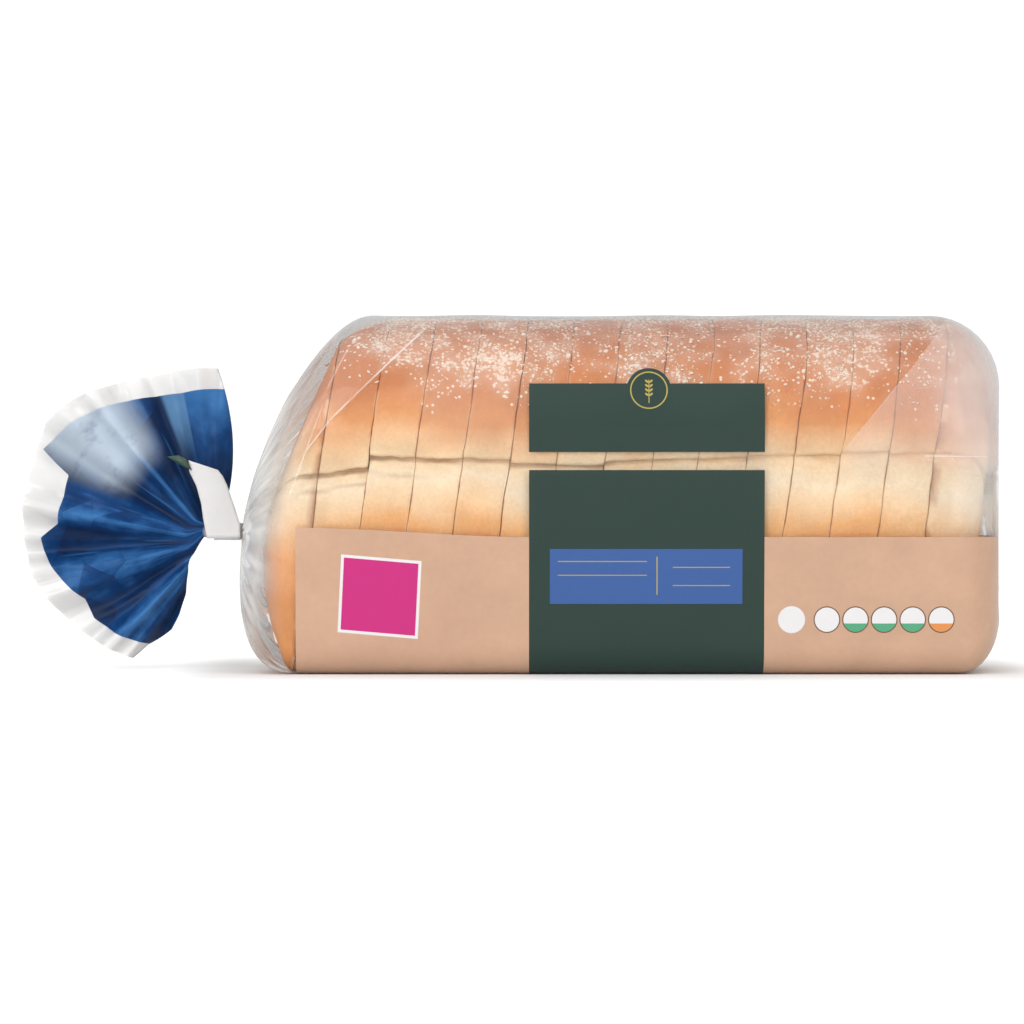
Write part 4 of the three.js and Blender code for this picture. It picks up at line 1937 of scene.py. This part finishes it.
        ring = self.ring(direction, self.neck_x)
        over = start - np.stack([value(self.run), upper * 0, upper * 0], axis=1)
        y = mix(ring[:, 1], start[:, 1], self.width_kept)
        z = mix(ring[:, 2], start[:, 2], value(self.spread))
        towards = np.stack([self.neck_x + value(self.forward), y, z], axis=1)
        share = np.linspace(0, 1, self.neck_rows + 1)[1:]
        rows = np.array([bezier([start, over, towards, ring], s) for s in share])
        axis = np.array([0.0, 0.0, self.neck_z])
        radial = (rows - axis) * np.array([0.0, 1.0, 1.0])
        radius = np.linalg.norm(radial, axis=-1, keepdims=True)
        wave = np.sin(27 * direction + 1.7 * np.sin(3 * direction + 1) + 1.2 * np.sin(7 * direction))
        wave = 1 - 2 * np.abs(wave) ** 0.7
        second = noise_at(rows * np.array([0.35, 1.0, 1.0]), 13.0, 5.0)
        depth = np.minimum(2.6, 0.2 * radius[..., 0]) * smoothstep(share, 0.22, 0.85)[:, None]
        swell = 0.9 * smoothstep(share, 0.1, 0.5)[:, None] * smoothstep(share, 1.0, 0.7)[:, None]
        move = depth * wave + swell * second
        return rows + radial / radius * move[..., None], share

    def ring(self, direction: np.ndarray, x: float) -> np.ndarray:
        """The neck's ring at a place along the loaf."""
        y = self.neck_radius * np.sin(direction)
        z = self.neck_z - self.neck_radius * np.cos(direction)
        return np.stack([np.full_like(y, x), y, z], axis=1)

    def tail(self, direction: np.ndarray) -> tuple[np.ndarray, dict[str, np.ndarray]]:
        """The open tail: two pleated layers that fan out from the neck.

        Args:
            direction: Each point's direction round the neck.

        Returns:
            Loops from the neck to the rim, and what is stored on them by name.
        """
        share = np.linspace(0, 1, self.tail_rows + 1)[1:, None]
        lower = np.radians(np.interp(share, *zip(*self.lower_edge)))
        upper = np.radians(self.upper_edge + self.upper_swing * (1 - share))
        folded = np.where(direction > math.pi, 2 * math.pi - direction, direction) / math.pi
        spaced = 0.35 * (1 - np.cos(direction)) / 2 + 0.65 * folded
        angle = lower + (upper - lower) * spaced
        rim = np.interp(np.degrees(angle), *zip(*self.rim))
        reach = self.neck_radius * 0.8 + (rim - self.neck_radius * 0.8) * share
        layer = np.sign(np.sin(direction)) * np.sqrt(np.abs(np.sin(direction)))
        layer = np.broadcast_to(layer, angle.shape)
        phase = self.pleats * angle + 0.8 * np.sin(2.3 * angle + 0.6) + 0.35 * np.sin(7 * angle)
        wave = np.abs(((phase / math.pi) % 2) - 1) * 2 - 1
        wave = wave + 0.25 * np.sin(2.7 * phase + 1.1) * layer
        place = np.stack([reach * np.cos(angle), layer * 20, reach * np.sin(angle)], axis=-1)
        crumple = 1 - 2 * np.abs(noise_at(place, 12.0, 3.0))
        depth = self.pleat_depth * smoothstep(share, 0.02, 0.55)
        depth = depth * mix(1.0, 0.45, smoothstep(angle, 1.05, 1.3))
        depth = depth * mix(1.0, 1.12, smoothstep(share, 0.75, 1.0))
        back = self.stand_back * smoothstep(angle, 0.9, 1.3) * smoothstep(share, 0.0, 0.12)
        y = (1.5 + 0.6 * share) * layer + depth * wave + back
        ripple = np.abs(((2.7 * phase / math.pi + 0.4) % 2) - 1) * 2 - 1
        y = y + 0.8 * crumple * smoothstep(share, 0.3, 0.8)
        y = y + self.ripple_depth * ripple * smoothstep(share, 0.55, 1.0)
        centre = mix(self.neck_z, self.apex_z, smoothstep(share, 0.0, 0.12))
        x, z = self.hub_x - reach * np.cos(angle), centre + reach * np.sin(angle)
        stored = {"tail_angle": angle, "tail_reach": reach, "tail_layer": layer, "tail_fold": wave}
        return np.stack([x, y, z], axis=-1), stored

    def build(self, bread: list[bpy.types.Object]) -> bpy.types.Object:
        """Args:
            bread: The pieces that it lies round; not used.

        Returns:
            The bag.
        """
        loop = whole_loop(self.half())
        direction = self.directions(loop)
        sealed = self.sealed_end(loop)[::-1]
        x = np.linspace(self.sealed_x - self.sealed_run, self.neck_start, self.body_rows + 2)[1:]
        body = self.body(loop, x, self.lean)
        lean = mix(self.lean, self.neck_lean, smoothstep(x, -30.0, self.neck_start))
        body[..., 0] = x[:, None] + lean[:, None] * (body[..., 2] - self.break_z)
        slack = noise_at(body * np.array([1.0, 1.0, 0.7]), 27.0, 1.0)
        held = smoothstep(body[..., 2], 3.0, 25.0)
        body = body + outward(body) * (0.5 * slack * held)[..., None]
        strands, neck_share = self.strands(loop, direction)
        places = np.linspace(self.neck_x, self.hub_x, 5)[1:]
        neck = np.array([self.ring(direction, at) for at in places])
        tail, stored = self.tail(direction)
        rows = np.concatenate([sealed, body, strands, neck, tail])[::-1]
        count = len(loop)
        piece = add_mesh("bag_printed_film", rows, loft_faces(len(rows), count))
        before = len(rows) - len(tail)
        for label, values in stored.items():
            padded = np.concatenate([np.zeros((before, count)), values])
            padded[:before] = values[0]
            store(piece, label, padded[::-1])
        on_tail = np.concatenate([np.zeros(before), np.ones(len(tail))])
        store(piece, "on_tail", np.repeat(on_tail[::-1], count))
        before_neck, after_neck = len(sealed) + len(body), len(neck) + len(tail)
        gather = np.concatenate([np.zeros(before_neck), neck_share, np.ones(after_neck)])
        store(piece, "gather", np.repeat(gather[::-1], count))
        turn = np.tile(direction, len(rows))
        store(piece, "strand_up", -np.cos(turn))
        store(piece, "strand_side", np.sin(turn))
        self.weld(piece, len(rows), count)
        piece.data.materials.append(self.finish.material())
        settle(piece, Slot.FILM, "bag_film")
        return piece

    def weld(self, piece: bpy.types.Object, rows: int, count: int) -> None:
        """Joins the two layers along the sealed seam's edge.

        Args:
            piece: The bag.
            rows: How many loops it has; the last is the seam's edge.
            count: How many points each loop has.
        """
        work = bmesh.new()
        work.from_mesh(piece.data)
        work.verts.ensure_lookup_table()
        edge = [work.verts[(rows - 1) * count + index] for index in range(count)]
        bmesh.ops.remove_doubles(work, verts=edge, dist=0.00002)
        work.to_mesh(piece.data)
        work.free()


@dataclass
class Tape:
    """The closing tape: a band round the neck whose ends stand up as a flag with a green tip."""

    finish: TapeFinish = field(default_factory=TapeFinish)
    neck_x: float = -95.6
    width: float = 9.4
    neck_z: float = 48.6
    bore: float = 2.75
    thickness: float = 0.35
    rows: int = 24
    columns: int = 12
    left_edge: Path = (
        (-107.2, 46.1),
        (-108.6, 53.0),
        (-109.3, 58.5),
        (-110.9, 64.5),
        (-113.4, 69.6),
        (-113.6, 73.6),
    )
    right_edge: Path = (
        (-95.6, 46.4),
        (-95.5, 50.8),
        (-97.6, 57.5),
        (-100.2, 65.0),
        (-101.6, 68.0),
        (-103.3, 70.2),
    )
    tip: Path = (
        (-121.1, 74.9),
        (-117.2, 75.4),
        (-114.2, 73.9),
        (-112.4, 70.0),
        (-117.3, 72.3),
    )
    front_y: float = -3.4
    top_y: float = -5.2

    def slab(self, name: str, grid: np.ndarray) -> bpy.types.Object:
        """A thin closed slab from a grid of points facing -Y.

        Args:
            name: The slab's name.
            grid: Its front points, in rows.

        Returns:
            The slab.
        """
        rows, count = grid.shape[:2]
        back = grid + np.array([0.0, self.thickness, 0.0])
        quads = grid_faces(rows, count)
        faces = quads.tolist() + (quads[:, ::-1] + rows * count).tolist()
        rim = [*range(count), *range(2 * count - 1, rows * count, count)]
        rim += [*range(rows * count - 2, (rows - 1) * count - 1, -1)]
        rim += [*range((rows - 2) * count, 0, -count)]
        for a, b in zip(rim, rim[1:] + rim[:1]):
            faces.append((a, b, b + rows * count, a + rows * count))
        return add_mesh(name, np.concatenate([grid.reshape(-1, 3), back.reshape(-1, 3)]), faces)

    def flag(self) -> bpy.types.Object:
        """The flag, which rises from the band and leans towards the tail.

        Returns:
            The flag.
        """
        share = np.linspace(0, 1, self.rows)[:, None]
        across = np.linspace(0, 1, self.columns)[None, :]
        known = np.linspace(0, 1, len(self.left_edge))
        sides = []
        for edge in (self.left_edge, self.right_edge):
            places = np.array(edge)
            sides.append([np.interp(share, known, places[:, k]) for k in range(2)])
        x = mix(sides[0][0], sides[1][0], across)
        z = mix(sides[0][1], sides[1][1], across)
        curl = np.sin(across * math.pi) * 0.5 + 1.1 * share * np.sin(2.4 * across + 0.5)
        y = mix(self.front_y, self.top_y, share**1.3) - curl * 0.8 * smoothstep(share, 0.05, 0.5)
        return self.slab("tape_flag", np.stack([x, y + x * 0, z], axis=-1))

    def band(self) -> bpy.types.Object:
        """The band wound round the neck.

        Returns:
            The band.
        """
        turn = np.linspace(0, 2 * math.pi, 48, endpoint=False)
        radii = (self.bore + self.thickness, self.bore + self.thickness, self.bore, self.bore)
        ends = (self.neck_x - self.width, self.neck_x, self.neck_x, self.neck_x - self.width)
        loops = []
        for radius, x in zip(radii, ends):
            y, z = radius * np.sin(turn), self.neck_z - radius * np.cos(turn)
            loops.append(np.stack([np.full_like(y, x), y, z], axis=1))
        rows = np.array([*loops, loops[0]])
        return add_mesh("tape_band", rows, loft_faces(len(rows), len(turn)))

    def green_tip(self) -> bpy.types.Object:
        """The folded green corner at the flag's end.

        Returns:
            The corner.
        """
        outline = evenly(np.array([*self.tip, self.tip[0]]), 40)[:-1]
        middle = outline.mean(axis=0)
        rings = []
        for share in (1.0, 0.75, 0.45):
            flat = middle + (outline - middle) * share
            y = self.top_y - 0.9 - 1.1 * (1 - share) + 0.3 * np.sin(flat[:, 0])
            rings.append(np.stack([flat[:, 0], y, flat[:, 1]], axis=1))
        back = rings[0] + np.array([0.0, 0.5, 0.0])
        rows = np.array([back, *rings])
        faces = loft_faces(len(rows), len(outline))
        count = len(outline)
        centres = [back.mean(axis=0), rings[-1].mean(axis=0) - np.array([0.0, 0.3, 0.0])]
        total = len(rows) * count
        faces += [(b, a, middle) for a, b, middle in fan(np.arange(count), total)]
        faces += fan(np.arange(total - count, total), total + 1)
        points = np.concatenate([rows.reshape(-1, 3), np.array(centres)])
        return add_mesh("tape_green_tip", points, faces)

    def build(self) -> None:
        """Makes and settles the tape's pieces."""
        material = self.finish.material()
        for piece, green in ((self.band(), 0.0), (self.flag(), 0.0), (self.green_tip(), 1.0)):
            store(piece, "green_tip", np.full(len(piece.data.vertices), green))
            face_out(piece)
            piece.data.materials.append(material)
            settle(piece, Slot.TAPE, "neck_tape")


# ---------------------------------------------------------------------------
# Studio
# ---------------------------------------------------------------------------


@dataclass(frozen=True)
class Lamp:
    """One soft lamp: where it stands, how wide it is and its power."""

    name: str
    place: tuple[float, float, float]
    size: float
    watts: float


@dataclass
class Studio:
    """A white floor and backdrop, soft light, and a level camera in front of the loaf."""

    floor: FloorFinish = field(default_factory=FloorFinish)
    sky: float = 1.0
    dim_sky: float = 0.8
    dark_side: tuple[float, float] = (-0.99, -0.75)
    lamps: tuple[Lamp, ...] = (
        Lamp("key", (-1.1, -2.0, 1.05), 1.8, 28.0),
        Lamp("fill", (1.4, -1.9, 0.8), 1.6, 10.0),
        Lamp("top", (0.1, 0.3, 1.8), 1.4, 3.0),
    )
    aim: Vector = field(default_factory=lambda: Vector((0.0, 0.0, 0.05)))
    camera_distance: float = 1.6
    camera_height: float = 0.0614
    lens: float = 159.6
    sensor: float = 36.0
    shift: float = -0.0166
    floor_half: float = 6.0
    backdrop_radius: float = 1.5
    backdrop_back: float = 2.2
    backdrop_top: float = 5.0

    def build(self) -> None:
        """Makes the floor, the light and the camera."""
        self.build_floor()
        self.build_sky()
        for lamp in self.lamps:
            self.build_lamp(lamp)
        self.build_camera()
        bpy.context.scene.view_settings.view_transform = "Standard"

    def build_sky(self) -> None:
        """Makes the even white light all round, a little dimmer from the camera's side."""
        world = bpy.data.worlds.new("white_studio")
        world.use_nodes = True
        tree = Tree(world.node_tree)
        heading = tree.node("ShaderNodeTexCoord").outputs["Generated"]
        forward = tree.node("ShaderNodeSeparateXYZ", {0: heading}).outputs["Y"]
        bright = tree.rise(forward, *self.dark_side)
        strength = tree.total(self.dim_sky, tree.product(bright, self.sky - self.dim_sky))
        given = {"Strength": strength, "Color": (1.0, 1.0, 1.0, 1.0)}
        background = tree.node("ShaderNodeBackground", given)
        tree.node("ShaderNodeOutputWorld", {"Surface": background.outputs[0]})
        bpy.context.scene.world = world

    def build_lamp(self, lamp: Lamp) -> None:
        """Makes one soft lamp, turned to the loaf.

        Args:
            lamp: The lamp's place, size and power.
        """
        data = bpy.data.lights.new(lamp.name, "AREA")
        data.size = lamp.size
        data.energy = lamp.watts
        light = bpy.data.objects.new(lamp.name, data)
        light.location = lamp.place
        facing = self.aim - light.location
        light.rotation_euler = facing.to_track_quat("-Z", "Y").to_euler()
        bpy.context.scene.collection.objects.link(light)

    def build_camera(self) -> None:
        """Makes the level camera in front of the loaf."""
        data = bpy.data.cameras.new("front")
        data.lens = self.lens
        data.sensor_width = self.sensor
        data.shift_y = self.shift
        camera = bpy.data.objects.new("front", data)
        camera.location = (0.0, -self.camera_distance, self.camera_height)
        camera.rotation_euler = (math.pi / 2, 0.0, 0.0)
        bpy.context.scene.collection.objects.link(camera)
        bpy.context.scene.camera = camera

    def build_floor(self) -> None:
        """Makes the floor, turned up into a backdrop behind the loaf."""
        turn = np.linspace(0, math.pi / 2, 24)
        radius = self.backdrop_radius
        y = [-self.floor_half, *(self.backdrop_back + radius * np.sin(turn))]
        z = [0.0, *(radius * (1 - np.cos(turn)))]
        y.append(y[-1])
        z.append(self.backdrop_top)
        sides = [[(side, a, b) for a, b in zip(y, z)] for side in (-self.floor_half, self.floor_half)]
        count = len(y)
        faces = [(i, i + count, i + count + 1, i + 1) for i in range(count - 1)]
        floor = add_mesh("studio_floor", np.array(sides) / MM, faces)
        floor.data.materials.append(self.floor.material())


def main() -> None:
    """Builds every part of the scene."""
    logging.basicConfig(level=logging.INFO, format="%(name)s: %(message)s", force=True)
    loaf = Loaf()
    bread = loaf.build()
    Flour().build(loaf)
    Bag().build(bread)
    Tape().build()
    Studio().build()


if __name__ == "__main__":
    main()
